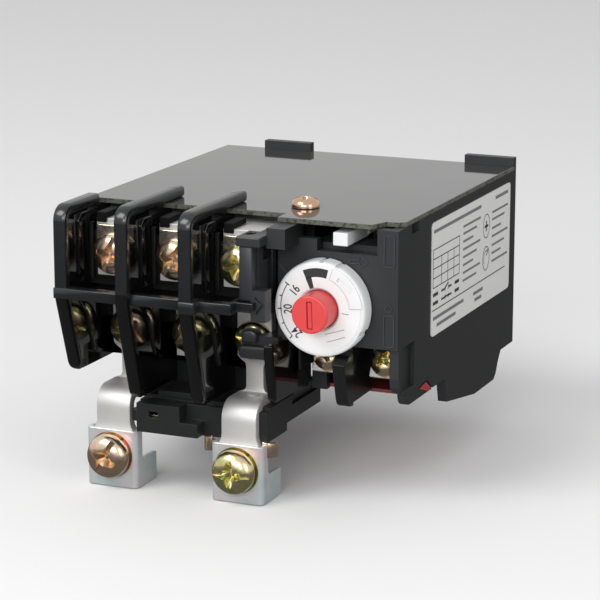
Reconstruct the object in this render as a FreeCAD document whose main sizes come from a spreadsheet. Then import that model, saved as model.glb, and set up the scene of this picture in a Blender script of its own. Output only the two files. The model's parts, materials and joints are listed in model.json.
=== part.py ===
import FreeCAD, Part
import math
import os
import Sketcher

# Thermal overload relay. X runs to the right seen from the dial side, Y to the back, Z up.
# The origin is the middle of the flat rear face that bears on the mounting panel.

SIZES = {
    # moulded case
    "panel_width": 29.0,         # dial panel, at the right of the poles
    "case_depth": 82.0,
    "case_top": 22.2,            # top of the walls, where the cover plate lies
    "wall": 2.2,
    "floor_bottom": -14.0,
    "floor_thick": 2.0,
    "panel_bottom": -5.0,        # lower edge of the dial panel
    "panel_thick": 2.4,
    "roof_thick": 1.6,           # of the shelf over the control terminals
    "bay_back": 8.0,             # how far the terminal bays' back wall stands behind the panel's face
    "control_back": 16.0,        # the same for the control terminals' back wall
    "skirt_front": -16.4,
    "skirt_bottom": -19.2,
    "rear_bottom": -22.0,
    "foot_bottom": -28.4,
    "foot_front": 33.0,          # behind the panel's face
    "foot_rear": 13.0,           # in front of the rear face
    "lug_height": 3.3,
    "lug_reach": 2.4,
    "lug_width": 12.8,
    # cover plate
    "plate_thick": 1.1,
    "plate_setback": 4.0,
    "tongue_reach": 0.6,
    # terminals and barriers
    "pole_pitch": 16.0,
    "left_margin": 3.0,          # from the case's left side to the first barrier's middle
    "web": 1.4,
    "rim": 3.0,
    "rim_band": 2.8,
    "pad": 0.5,                  # raised fields beside the terminals
    "pad_reach": 8.7,
    "barrier_reach": 17.4,       # in front of the panel's face
    "barrier_low_reach": 10.9,
    "barrier_bottom": -19.8,
    "rim_top": 25.9,
    "rim_turn": 3.8,             # size of the rounded corners
    "rim_over": 14.0,            # how far a rim runs back over the cover plate
    "end_reach": 16.2,           # the first barrier is smaller
    "end_low_reach": 10.2,
    "end_bottom": -15.0,
    "end_top": 25.0,
    "bar_bottom": 3.5,
    "bar_top": 6.0,
    "bar_reach": 16.0,
    "bar_thick": 2.6,
    "upper_seat": 3.0,           # upper terminal strips' seat, in front of the panel's face
    "back_thick": 2.2,
    "lower_seat": 5.0,           # lower terminals' seat, behind the panel's face
    "upper_screw_z": 13.0,
    "lower_screw_z": -6.6,
    "strip_thick": 1.2,
    "strip_width": 9.0,
    "strip_top": 20.4,
    "shield_side": 2.6,          # from the third pole's middle to the shield
    "shield_wide": 3.2,
    "cap_thick": 2.1,
    "washer_thick": 1.0,
    "washer_side": 8.4,
    # machine screws: head and shank radii, head height
    "m4_head": 4.0,
    "m4_shank": 2.0,
    "m4_high": 2.9,
    "m5_head": 5.0,
    "m5_shank": 2.5,
    "m5_high": 3.3,
    "m35_head": 3.3,
    "m35_shank": 1.75,
    "m35_high": 2.5,
    # connecting tabs and their clamps
    "tab_width": 8.6,
    "tab_flare": 10.7,
    "tab_neck": 4.4,
    "tab_shelf": -20.6,          # underside of the tabs' level stretch
    "tab_bend": 2.4,
    "clamp_bend": 1.8,
    "tab_reach": 6.5,
    "tab_bottom": -42.0,
    "clamp_width": 13.0,
    "clamp_top": -28.8,
    "clamp_bottom": -42.6,
    "clamp_ear": 10.4,
    "clamp_lip": 3.8,
    "clamp_screw_z": -34.8,
    "spring_washer": 1.1,
    "nut_thick": 2.0,
    # dial, reset button and trip lever
    "dial_side": 12.0,           # from the panel's left edge to the dial's middle
    "dial_z": 4.0,
    "dial_radius": 11.0,
    "dial_face": 4.7,
    "dial_gap": 0.35,
    "dial_hub": 5.6,
    "hub_fit": 0.05,
    "hub_depth": 7.4,
    "cam_radius": 4.8,
    "cam_depth": 2.0,
    "cam_throw": 0.6,
    "clip_thick": 1.0,
    "clip_rim": 1.4,
    "button_radius": 4.35,
    "button_fit": 0.08,
    "button_reach": 5.6,
    "button_travel": 2.5,
    "button_inner": 1.9,
    "stem_radius": 2.0,
    "stem_bore": 2.1,
    "leaf_thick": 0.4,
    "post_front": 16.0,          # behind the panel's face
    "window_side": 5.0,          # from the window to the case's right side
    "window_width": 14.4,
    "window_bottom": 16.3,
    "lever_travel": 3.4,
    "lever_width": 3.5,
    "lever_bottom": 18.0,
    "lever_top": 21.0,
    "lever_reach": 1.0,
    "lever_depth": 27.0,
    "arm_setback": 6.0,          # how far the arm's front lies before the lever's end
    # inner mechanism
    "bimetal_y": 22.0,           # behind the panel's face
    "bimetal_thick": 0.9,
    "bimetal_bottom": -8.0,
    "pusher_z": -6.6,
    "pusher_thick": 2.0,
    "pusher_travel": 1.52,
    "arm_thick": 1.6,
    "arm_pivot_z": 1.0,
    "arm_deep": 6.6,
    "contact_z": 8.0,
    "arm_top": 18.2,
    "fork_gap": 0.45,
    "pin_radius": 1.25,
    "pin_fit": 0.05,
    "slot_gap": 0.35,
    # control terminals
    "control_face_depth": 11.24,
    "control_face_z": -11.04,
    "control_side": 6.4,         # from the second control screw to the case's right side
    "control_half": 3.8,         # half the width of a control seat
    "control_gap": 1.3,          # between the control barrier's rim and the second seat
    "control_reach": 3.2,
    "control_low_reach": 0.3,
    "leg": 2.6,                  # space for the case's leg beside the last control terminal
    "control_plate": 1.0,
    "control_washer": 0.8,
    # label and bottom sheet
    "label_thick": 0.2,
    "label_front": 21.2,         # behind the panel's face
    "label_rear": 4.8,           # in front of the rear face
    "label_bottom": -6.8,
    "label_below": 2.2,          # under the top of the walls
    "label_corner": 1.8,
}


class Dim:
    """A size that carries its value and the expression that gives it in the sheet."""

    def __init__(self, value, text):
        self.value = value
        self.text = text

    def __add__(self, other):
        return combine(self, "+", other)

    def __radd__(self, other):
        return combine(other, "+", self)

    def __sub__(self, other):
        return combine(self, "-", other)

    def __rsub__(self, other):
        return combine(other, "-", self)

    def __mul__(self, other):
        return combine(self, "*", other)

    def __rmul__(self, other):
        return combine(other, "*", self)

    def __truediv__(self, other):
        return combine(self, "/", other)

    def __neg__(self):
        return combine(0, "-", self)


def dim(value):
    if isinstance(value, Dim):
        return value
    return Dim(float(value), repr(float(value)))


def combine(a, sign, b):
    a, b = dim(a), dim(b)
    results = {"+": a.value + b.value, "-": a.value - b.value, "*": a.value * b.value}
    value = results[sign] if sign in results else a.value / b.value
    return Dim(value, "(%s %s %s)" % (a.text, sign, b.text))


class Names:
    pass


doc = FreeCAD.newDocument("overload_relay")
sheet = doc.addObject("Spreadsheet::Sheet", "Sizes")
s = Names()
for row, (word, number) in enumerate(SIZES.items(), start=1):
    sheet.set("A%d" % row, word)
    sheet.set("B%d" % row, repr(number))
    sheet.setAlias("B%d" % row, word)
    setattr(s, word, Dim(number, "Sizes.%s" % word))
doc.recompute()

nodes = []


def bind(thing, prop, size):
    thing.setExpression(prop, dim(size).text)


def place(thing, x, y, z):
    for axis, size in zip("xyz", (x, y, z)):
        bind(thing, "Placement.Base.%s" % axis, size)


def box(name, low, high):
    """A block between two corners."""
    block = doc.addObject("Part::Box", name)
    for prop, a, b in zip(("Length", "Width", "Height"), low, high):
        bind(block, prop, dim(b) - a)
    place(block, *low)
    return block


def rod(name, radius, length, at, axis="y"):
    """A cylinder that starts at a point and runs along an axis."""
    cylinder = doc.addObject("Part::Cylinder", name)
    bind(cylinder, "Radius", radius)
    bind(cylinder, "Height", length)
    turns = {"x": ((0, 1, 0), 90), "y": ((1, 0, 0), -90), "z": ((0, 0, 1), 0)}
    direction, angle = turns[axis]
    cylinder.Placement = FreeCAD.Placement(
        FreeCAD.Vector(), FreeCAD.Rotation(FreeCAD.Vector(*direction), angle))
    place(cylinder, *at)
    return cylinder


def joined(name, things):
    union = doc.addObject("Part::MultiFuse", name)
    union.Shapes = things
    union.Refine = True
    return union


def carved(name, base, tools):
    """The base without the tools."""
    cut = doc.addObject("Part::Cut", name)
    cut.Base = base
    cut.Tool = tools[0] if len(tools) == 1 else joined(name + "_tools", tools)
    cut.Refine = True
    return cut


PLANES = {"x": "YZ_Plane", "y": "XZ_Plane", "z": "XY_Plane"}


def outline(body, name, axis, points, start):
    """A closed sketch of straight lines. Each corner is tied to the origin by two sizes."""
    sketch = body.newObject("Sketcher::SketchObject", name)
    for feature in body.Origin.OriginFeatures:
        if feature.Role == PLANES[axis]:
            sketch.AttachmentSupport = [(feature, "")]
    sketch.MapMode = "FlatFace"
    bind(sketch, "AttachmentOffset.Base.z", start)
    corners = [(dim(u), dim(v)) for u, v in points]
    count = len(corners)
    for i in range(count):
        a, b = corners[i], corners[(i + 1) % count]
        sketch.addGeometry(Part.LineSegment(FreeCAD.Vector(a[0].value, a[1].value, 0),
                                            FreeCAD.Vector(b[0].value, b[1].value, 0)))
    for i in range(count):
        sketch.addConstraint(Sketcher.Constraint("Coincident", i, 2, (i + 1) % count, 1))
    for i, corner in enumerate(corners):
        for kind, size in zip(("DistanceX", "DistanceY"), corner):
            index = sketch.addConstraint(Sketcher.Constraint(kind, -1, 1, i, 1, size.value))
            bind(sketch, "Constraints[%d]" % index, size)
    return sketch


def slab(name, axis, points, start, end):
    """A padded outline between two stations along an axis."""
    body = doc.addObject("PartDesign::Body", name)
    flip = -1 if axis == "y" else 1          # the XZ plane's normal points to the front
    first, last = (dim(end), dim(start)) if axis == "y" else (dim(start), dim(end))
    sketch = outline(body, name + "_outline", axis, points, first * flip)
    pad = body.newObject("PartDesign::Pad", name + "_pad")
    pad.Profile = sketch
    bind(pad, "Length", (last - first) * flip)
    return body


def turned(name, points):
    """A body turned about Z from (radius, height) points."""
    body = doc.addObject("PartDesign::Body", name)
    sketch = outline(body, name + "_outline", "y", points, 0)
    ring = body.newObject("PartDesign::Revolution", name + "_turned")
    ring.Profile = sketch
    ring.ReferenceAxis = (sketch, ["V_Axis"])
    ring.Angle = 360
    return body


def aim(thing, at, tilt=0):
    """Turns a part built along Z so its top faces the front, tilted up by some degrees."""
    thing.Placement = FreeCAD.Placement(
        FreeCAD.Vector(), FreeCAD.Rotation(FreeCAD.Vector(1, 0, 0), 90 - tilt))
    place(thing, *at)


def node(name, thing):
    """Registers a finished part as one named piece."""
    thing.Label = name
    nodes.append((name, thing))
    return thing


def front(reach):
    """Y of a station in front of the dial panel's face."""
    return -s.case_depth - reach


def behind(depth):
    """Y of a station behind the dial panel's face."""
    return -s.case_depth + depth


def rounded(corner, reach, back, on, steps=4):
    """Points of a smooth turn at a corner, which leaves and joins two directions at a reach from it."""
    u, v = corner
    points = []
    for i in range(steps + 1):
        a, b = (1 - i / steps) ** 2, (i / steps) ** 2
        points.append((u + reach * (a * back[0] + b * on[0]), v + reach * (a * back[1] + b * on[1])))
    return points


half = (s.left_margin + s.pole_pitch * 3 - 1.0 + s.panel_width) / 2
lead_low = s.lower_screw_z + 4.2
lead_high = lead_low + s.strip_thick
barrier_x = [s.left_margin - half + s.pole_pitch * i for i in range(4)]
poles = [s.left_margin - half + s.pole_pitch * (i + 0.5) for i in range(3)]
panel_left = barrier_x[3] - 1.0
dial_x = panel_left + s.dial_side
control_last_x = half - s.control_side
control_barrier_x = control_last_x - s.control_half - s.control_gap - s.rim / 2
control_x = [(barrier_x[3] + control_barrier_x) / 2, control_last_x]
window_right = half - s.window_side
window_left = window_right - s.window_width
lever_left = window_left + s.lever_travel + 0.8
lever_right = lever_left + s.lever_width
arm_x = (lever_left + lever_right) / 2
arm_front = s.lever_depth - s.arm_setback
cover_screw_x = panel_left + 1.5
cover_screw_depth = 12.4          # behind the panel's face
roof_top = s.panel_bottom + s.roof_thick
floor_top = s.floor_bottom + s.floor_thick
block_top = s.tab_shelf - 0.1


def case_node():
    """Walls, floor, dial panel, rear lugs, feet and the seats of the inner parts."""
    w = s.wall
    bay = behind(s.bay_back)
    pusher_low = s.pusher_z - s.pusher_thick / 2 - s.slot_gap
    rear = -s.foot_rear
    under = [(behind(19.3), s.skirt_front), (behind(23.4), s.skirt_bottom),
             (behind(31.4), s.skirt_bottom), (behind(s.foot_front), -25.2), (rear - 16, s.foot_bottom),
             (rear - 1.6, s.foot_bottom), (rear, s.foot_bottom + 1.2), (rear + 1.6, s.foot_bottom + 4),
             (rear + 3.6, s.rear_bottom), (0, s.rear_bottom), (0, s.case_top)]
    chin = rounded((behind(0.8), s.skirt_front), 6.4, (0, 0.7), (1, 0))
    side = [(behind(0), s.panel_bottom), (behind(0.8), s.panel_bottom)] + chin + under + [
        (behind(0), s.case_top)]
    left = [(bay, s.floor_bottom)] + under[1:] + [(bay, s.case_top)]
    leg = [(behind(6.4), s.panel_bottom)] + rounded(
        (behind(7.4), s.barrier_bottom), 2.4, (-0.2, 0.98), (1, 0)) + [
        (behind(24), s.barrier_bottom), (behind(24), s.panel_bottom)]
    right_bay = panel_left + w
    walls = [
        slab("right_wall", "x", side, half - w, half),
        slab("left_wall", "x", left, -half, -half + w),
        box("rear_wall", (-half, -w, s.rear_bottom), (half, 0, s.case_top)),
        box("bay_wall", (-half, bay, s.floor_bottom), (right_bay, bay + 2, s.case_top)),
        box("floor_left", (-half, bay, s.floor_bottom), (right_bay, 0, floor_top)),
        box("floor", (panel_left, behind(s.control_back), s.floor_bottom), (half, 0, floor_top)),
        box("skirt_post", (right_bay - 0.5, behind(s.control_back), s.skirt_bottom - 1.2),
            (right_bay + 3.2, behind(s.control_back + 2), s.floor_bottom)),
        box("control_wall", (panel_left, behind(s.control_back), s.floor_bottom),
            (half, behind(s.control_back + 2), roof_top)),
        box("control_roof", (panel_left, behind(0), s.panel_bottom),
            (half, behind(s.control_back + 2), roof_top)),
        box("control_side", (panel_left, bay, s.floor_bottom),
            (right_bay, behind(s.control_back + 2), roof_top)),
        slab("end_leg", "x", leg, half - s.leg, half - 0.6),
        box("lever_ledge", (window_left - 2, behind(s.panel_thick), s.window_bottom - 1.4),
            (window_right + 2, behind(12), s.lever_bottom - s.slot_gap)),
        box("panel", (panel_left, behind(0), s.panel_bottom),
            (half, behind(s.panel_thick), s.case_top)),
        box("panel_side", (panel_left, behind(0), s.panel_bottom), (right_bay, bay + 2, s.case_top)),
        box("lug_a", (11.4 - half, -s.lug_reach, s.case_top),
            (11.4 - half + s.lug_width, 0, s.case_top + s.lug_height)),
        box("lug_b", (half - s.lug_width, -s.lug_reach, s.case_top),
            (half, 0, s.case_top + s.lug_height)),
        box("cover_boss", (panel_left - 1.7, behind(10), s.panel_bottom + 0.6),
            (right_bay + 2.5, behind(15), s.case_top)),
        box("corner_block", (panel_left + 0.7, front(7.9), s.case_top - 4.6),
            (panel_left + 5.2, behind(1), s.case_top)),
        box("spring_post", (dial_x - 2.5, behind(s.post_front), s.panel_bottom + 0.6),
            (dial_x + 2.5, behind(s.post_front + 2), s.dial_z + 3)),
        box("pivot_post", (arm_x - 3, behind(arm_front + 7), s.floor_bottom),
            (arm_x + 3, behind(arm_front + 10), s.arm_pivot_z + 4)),
        box("contact_post", (arm_x + 6.5, behind(arm_front - 2), s.floor_bottom),
            (arm_x + 9, behind(arm_front + 6), s.contact_z + 4)),
    ]
    for i, x in enumerate((poles[0] + 7.5, poles[1] + 7.5, poles[2] + 12.5)):
        walls.append(box("pusher_guide_%d" % i, (x, behind(18), s.floor_bottom),
                         (x + 3, behind(27.4), pusher_low)))
    hole_y = behind(-1)
    cuts = [
        rod("dial_hole", s.dial_hub + s.hub_fit, s.panel_thick + 2, (dial_x, hole_y, s.dial_z)),
        box("window", (window_left, behind(-1), s.window_bottom),
            (window_right, behind(s.panel_thick + 1), s.case_top + 1)),
        box("window_step", (panel_left + 5.2, behind(-1), s.window_bottom + 2.6),
            (window_left + 1, behind(s.panel_thick + 1), s.case_top + 1)),
        box("edge_notch", (half - w - 1, behind(8.4), s.case_top - 2.3),
            (half + 1, behind(12.9), s.case_top + 1)),
        box("plate_seat", (-half - 1, -s.lug_reach - 1, s.case_top),
            (half + 1, -0.8, s.case_top + s.plate_thick)),
        rod("cover_thread", s.m35_shank, 12,
            (cover_screw_x, behind(cover_screw_depth), s.case_top - 10), "z"),
        rod("pin_hole", s.pin_radius, 9, (arm_x, behind(arm_front + 6), s.arm_pivot_z)),
        box("side_recess", (half - 1, behind(2.4), -15.4), (half + 1, behind(10.8), s.panel_bottom)),
    ]
    for i, x in enumerate(poles):
        cuts.append(box("strip_slot_%d" % i, (x - s.strip_width / 2, bay - 1, s.strip_top - s.strip_thick),
                        (x + s.strip_width / 2, bay + 3, s.strip_top)))
        cuts.append(box("lead_slot_%d" % i, (x - 1.5, bay - 1, lead_low), (x + 1.5, bay + 3, lead_high)))
        cuts.append(rod("shank_hole_%d" % i, s.m4_shank + 0.3, 4, (x, bay - 1, s.lower_screw_z)))
    return node("case", carved("case", joined("case_walls", walls), cuts))


def ribbed(name, x, plate, core, thick):
    """A web with the profile of a plate, and a thicker rim where the core doesn't reach."""
    web = slab(name + "_web", "x", plate, x - s.web / 2, x + s.web / 2)
    whole = slab(name + "_solid", "x", plate, x - thick / 2, x + thick / 2)
    inner = slab(name + "_core", "x", core, x - thick, x + thick)
    return [web, carved(name + "_rim", whole, [inner])]


def pad(name, i, points):
    """Raised fields beside the terminals. The end barriers carry one on their inner face only."""
    reach = s.web / 2 + s.pad
    low = barrier_x[i] - (reach if i > 0 else 0)
    high = barrier_x[i] + (reach if i < 3 else 0)
    return slab(name, "x", points, low, high)


def upper_barriers_node():
    """Moulding with the three upper phase barriers and the upper terminals' back wall."""
    seat = front(s.upper_seat)
    tie = front(s.upper_seat - s.back_thick)
    deck_top = s.strip_top - s.strip_thick
    plate_top = s.case_top + s.plate_thick
    pieces = [
        box("upper_back", (barrier_x[0], seat, s.bar_top), (panel_left, tie, deck_top)),
        box("upper_deck", (barrier_x[0], seat, deck_top - 2), (panel_left, behind(s.bay_back), deck_top)),
    ]
    field = [(seat, s.bar_top), (front(s.pad_reach), s.bar_top), (front(s.pad_reach), s.case_top - 1.8),
             (front(s.pad_reach - 1.4), s.case_top - 0.4), (seat, s.case_top - 0.4)]
    for i in range(3):
        top = s.rim_top if i else s.end_top
        reach = s.barrier_reach if i else s.end_reach
        over = s.rim_over if i else dim(1.8)
        plate = [(behind(s.bay_back), s.bar_top), (front(reach), s.bar_top)]
        plate += rounded((front(reach), top), s.rim_turn, (0, -1), (1, 0))
        plate += rounded((behind(over), top), 1.4, (-1, 0), (0, -1), 2)
        plate += [(behind(over), plate_top), (behind(s.plate_setback - 0.4), plate_top),
                  (behind(s.plate_setback - 0.4), s.case_top), (behind(s.bay_back), s.case_top)]
        inside, under = front(reach - s.rim_band), top - s.rim_band - 0.3
        core = [(behind(over + 1), s.bar_top - 1), (inside, s.bar_top - 1)]
        core += rounded((inside, under), 2.6, (0, -1), (1, 0)) + [(behind(over + 1), under)]
        pieces += ribbed("upper_%d" % i, barrier_x[i], plate, core, s.rim)
        pieces.append(pad("upper_pad_%d" % i, i, field))
    left = poles[2] + s.shield_side      # the shield beside the third pole
    right = left + s.shield_wide
    cap_top = s.strip_top
    cap_low = cap_top - s.cap_thick
    cap = box("shield_cap", (left - 0.8, front(12), cap_low), (right + 1.7, front(4.6), cap_top))
    cap_slot = box("cap_slot", (left + 0.5, front(9.6), cap_low - 1), (right + 0.1, front(8.3), cap_top + 1))
    pieces += [
        box("post", (left, front(11.5), s.bar_top), (right, front(8.6), cap_low)),
        box("post_tie", (right - 1.3, front(8.6), s.bar_top), (right, tie, cap_low)),
        box("cap_tie", (right - 0.9, front(4.6), cap_low), (right + 1.7, behind(0), cap_top)),
        carved("cap_slotted", cap, [cap_slot]),
    ]
    holes = [rod("upper_thread_%d" % i, s.m4_shank, 5, (x, front(s.upper_seat + 1), s.upper_screw_z))
             for i, x in enumerate(poles)]
    return node("upper_barriers", carved("upper_barriers", joined("upper_mould", pieces), holes))


def lower_barrier(i):
    """Lower half of a phase barrier: slanting front, level lower edge."""
    full = i in (1, 2)
    high = s.bar_top if i < 3 else s.panel_bottom
    reach = s.end_reach if i == 0 else s.barrier_reach if full else s.barrier_low_reach - 2.6
    low_reach = s.end_low_reach if i == 0 else s.barrier_low_reach if full else s.barrier_low_reach - 4.9
    bottom = s.end_bottom if i == 0 else s.barrier_bottom if full else s.barrier_bottom + 1
    kink = s.bar_bottom if i < 3 else s.panel_bottom - 1
    slant = (-0.27, 0.96)
    plate = [(behind(s.bay_back), high), (front(reach), high), (front(reach), kink)]
    plate += rounded((front(low_reach), bottom), 2.4, slant, (1, 0))
    plate += [(behind(s.bay_back), bottom + 0.4)]
    core = [(behind(s.bay_back + 1), high + 1), (front(reach - s.rim_band), high + 1),
            (front(reach - s.rim_band), kink), (front(low_reach - s.rim_band), bottom - 1),
            (behind(s.bay_back + 1), bottom - 1)]
    return ribbed("lower_%d" % i, barrier_x[i], plate, core, s.rim if i < 3 else s.rim - 0.8)


def lower_barriers_node():
    """Moulding with the cross bars, the lower halves of the barriers and the lower back wall."""
    seat = behind(s.lower_seat)
    back = behind(s.bay_back)
    first, last = barrier_x[0], barrier_x[3]
    left, right = poles[2] + 1.9, poles[2] + 5.8
    gap = panel_left - 0.3
    inner = front(s.bar_reach - s.bar_thick)
    pieces = [
        box("lower_back", (first, seat, s.floor_bottom), (panel_left, back, s.bar_bottom + 1)),
        box("lower_back_end", (first, seat, s.floor_bottom), (last + s.web / 2, back, s.panel_bottom)),
        box("shelf", (first, inner, s.bar_bottom + 0.8), (gap, back, s.bar_top)),
        box("bar_1", (first, front(s.end_reach + 0.3), s.bar_bottom), (barrier_x[1], inner, s.bar_top)),
        box("bar_2", (barrier_x[1], front(s.bar_reach), s.bar_bottom), (barrier_x[2], inner, s.bar_top)),
        box("bar_3", (barrier_x[2], front(s.bar_reach), s.bar_bottom), (poles[2] + 2.5, inner, s.bar_top)),
        box("rim_block", (barrier_x[2] - 1.3, front(s.barrier_reach + 1), s.bar_bottom - 0.2),
            (barrier_x[2] + 2.6, inner, s.bar_top)),
        box("ledge", (left, front(12), s.bar_bottom), (right - 0.3, front(9), s.bar_top)),
        box("pointer", (right, front(11.4), s.bar_bottom - 2.1), (right + 3.1, front(8), s.bar_top + 3.2)),
        box("pointer_neck", (right - 0.5, front(8), s.bar_bottom), (gap, front(0.4), s.bar_top)),
        box("pointer_stem", (right - 0.5, front(9), s.bar_bottom), (right + 0.9, front(7), s.bar_top)),
        box("hook_up", (left - 2.5, front(3.6), -6.0), (left + 0.8, front(0.7), -3.6)),
        box("hook_low", (left - 3, front(4.0), -8.8), (last, front(0.7), -5.7)),
    ]
    field = [(seat, s.bar_bottom), (front(s.pad_reach + 2), s.bar_bottom), (front(s.pad_reach - 3.2), -1.6),
             (front(s.pad_reach - 6.6), -11.4), (front(s.pad_reach - 7.8), -12.7), (seat, -12.7)]
    for i in range(4):
        pieces += lower_barrier(i)
        if i < 3:
            pieces.append(pad("lower_pad_%d" % i, i, field))
    holes = []
    for i, x in enumerate(poles):
        holes.append(rod("lower_thread_%d" % i, s.m4_shank, 5, (x, seat - 1, s.lower_screw_z)))
        holes.append(box("lower_lead_%d" % i, (x - 1.5, seat - 1, lead_low), (x + 1.5, back + 1, lead_high)))
    return node("lower_barriers", carved("lower_barriers", joined("lower_mould", pieces), holes))


def cover_nodes():
    """Laminate cover plate and the pan head screw that holds it."""
    edge = behind(s.plate_setback)
    tongue = front(s.tongue_reach)
    outside = half - 0.1
    points = [(-outside, edge), (panel_left + 0.2, edge), (panel_left + 0.2, tongue),
              (half - 6.1, tongue), (half - 4.3, edge), (outside - 1.6, edge),
              (outside, behind(s.plate_setback + 1.4)), (outside, -0.8), (-outside, -0.8)]
    plate = slab("plate_blank", "z", points, s.case_top, s.case_top + s.plate_thick)
    hole = rod("plate_hole", s.m35_shank + 0.15, 6,
               (cover_screw_x, behind(cover_screw_depth), s.case_top - 2), "z")
    node("cover_plate", carved("cover_plate", plate, [hole]))
    screw = pan_screw("cover_screw", s.m35_head, s.m35_shank, s.m35_high, 8)
    place(screw, cover_screw_x, behind(cover_screw_depth), s.case_top + s.plate_thick)


def pan_screw(name, head, shank, high, length):
    """A slotted pan head screw along Z: head above zero, shank below."""
    blank = turned(name + "_blank", [(0, high), (head * 0.7, high * 0.9), (head, high * 0.36), (head, 0),
                                     (shank, 0), (shank, -dim(length)), (0, -dim(length))])
    slot = box(name + "_slot", (-head, -head * 0.1, high * 0.5), (head, head * 0.1, high + 1))
    return node(name, carved(name, blank, [slot]))


def upper_terminal(i, x):
    """Terminal strip, square washer and screw of one pole's upper terminal."""
    seat = front(s.upper_seat)
    wide = s.strip_width / 2
    face = seat - s.strip_thick
    bent = slab("upper_strip_%d_bent" % i, "x",
                [(face, 7.0), (seat, 7.0), (seat, s.strip_top - s.strip_thick),
                 (behind(26), s.strip_top - s.strip_thick), (behind(26), s.strip_top),
                 (face, s.strip_top)], x - wide, x + wide)
    hole = rod("upper_strip_%d_hole" % i, s.m4_shank, 4, (x, face - 1, s.upper_screw_z))
    node("upper_strip_%d" % i, carved("upper_strip_%d" % i, bent, [hole]))
    side = s.washer_side / 2
    washer = box("upper_washer_%d_blank" % i, (x - side, face - s.washer_thick, s.upper_screw_z - side + 0.7),
                 (x + side, face, s.upper_screw_z + side + 0.7))
    bore = rod("upper_washer_%d_bore" % i, s.m4_shank, 4, (x, face - 2, s.upper_screw_z))
    node("upper_washer_%d" % i, carved("upper_washer_%d" % i, washer, [bore]))
    screw = pan_screw("upper_screw_%d" % i, s.m4_head, s.m4_shank, s.m4_high, 4.2)
    aim(screw, (x, face - s.washer_thick, s.upper_screw_z))


def lower_terminal(i, x):
    """Washer and screw of one pole's lower terminal, with the strip of the middle pole."""
    seat = behind(s.lower_seat)
    face = seat - s.strip_thick
    side = s.washer_side / 2
    if i == 2:
        wide = s.strip_width / 2
        strip = box("lower_strip_blank", (x - wide, face, s.lower_screw_z - 6),
                    (x + wide, seat, s.lower_screw_z + 7))
        hole = rod("lower_strip_hole", s.m4_shank, 4, (x, face - 1, s.lower_screw_z))
        node("lower_strip_2", carved("lower_strip_2", strip, [hole]))
    washer = box("lower_washer_%d_blank" % i, (x - side, face - s.washer_thick, s.lower_screw_z - side),
                 (x + side, face, s.lower_screw_z + side))
    bore = rod("lower_washer_%d_bore" % i, s.m4_shank, 4, (x, face - 2, s.lower_screw_z))
    node("lower_washer_%d" % i, carved("lower_washer_%d" % i, washer, [bore]))
    screw = pan_screw("lower_screw_%d" % i, s.m4_head, s.m4_shank, s.m4_high, 5)
    aim(screw, (x, face - s.washer_thick, s.lower_screw_z))


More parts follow.
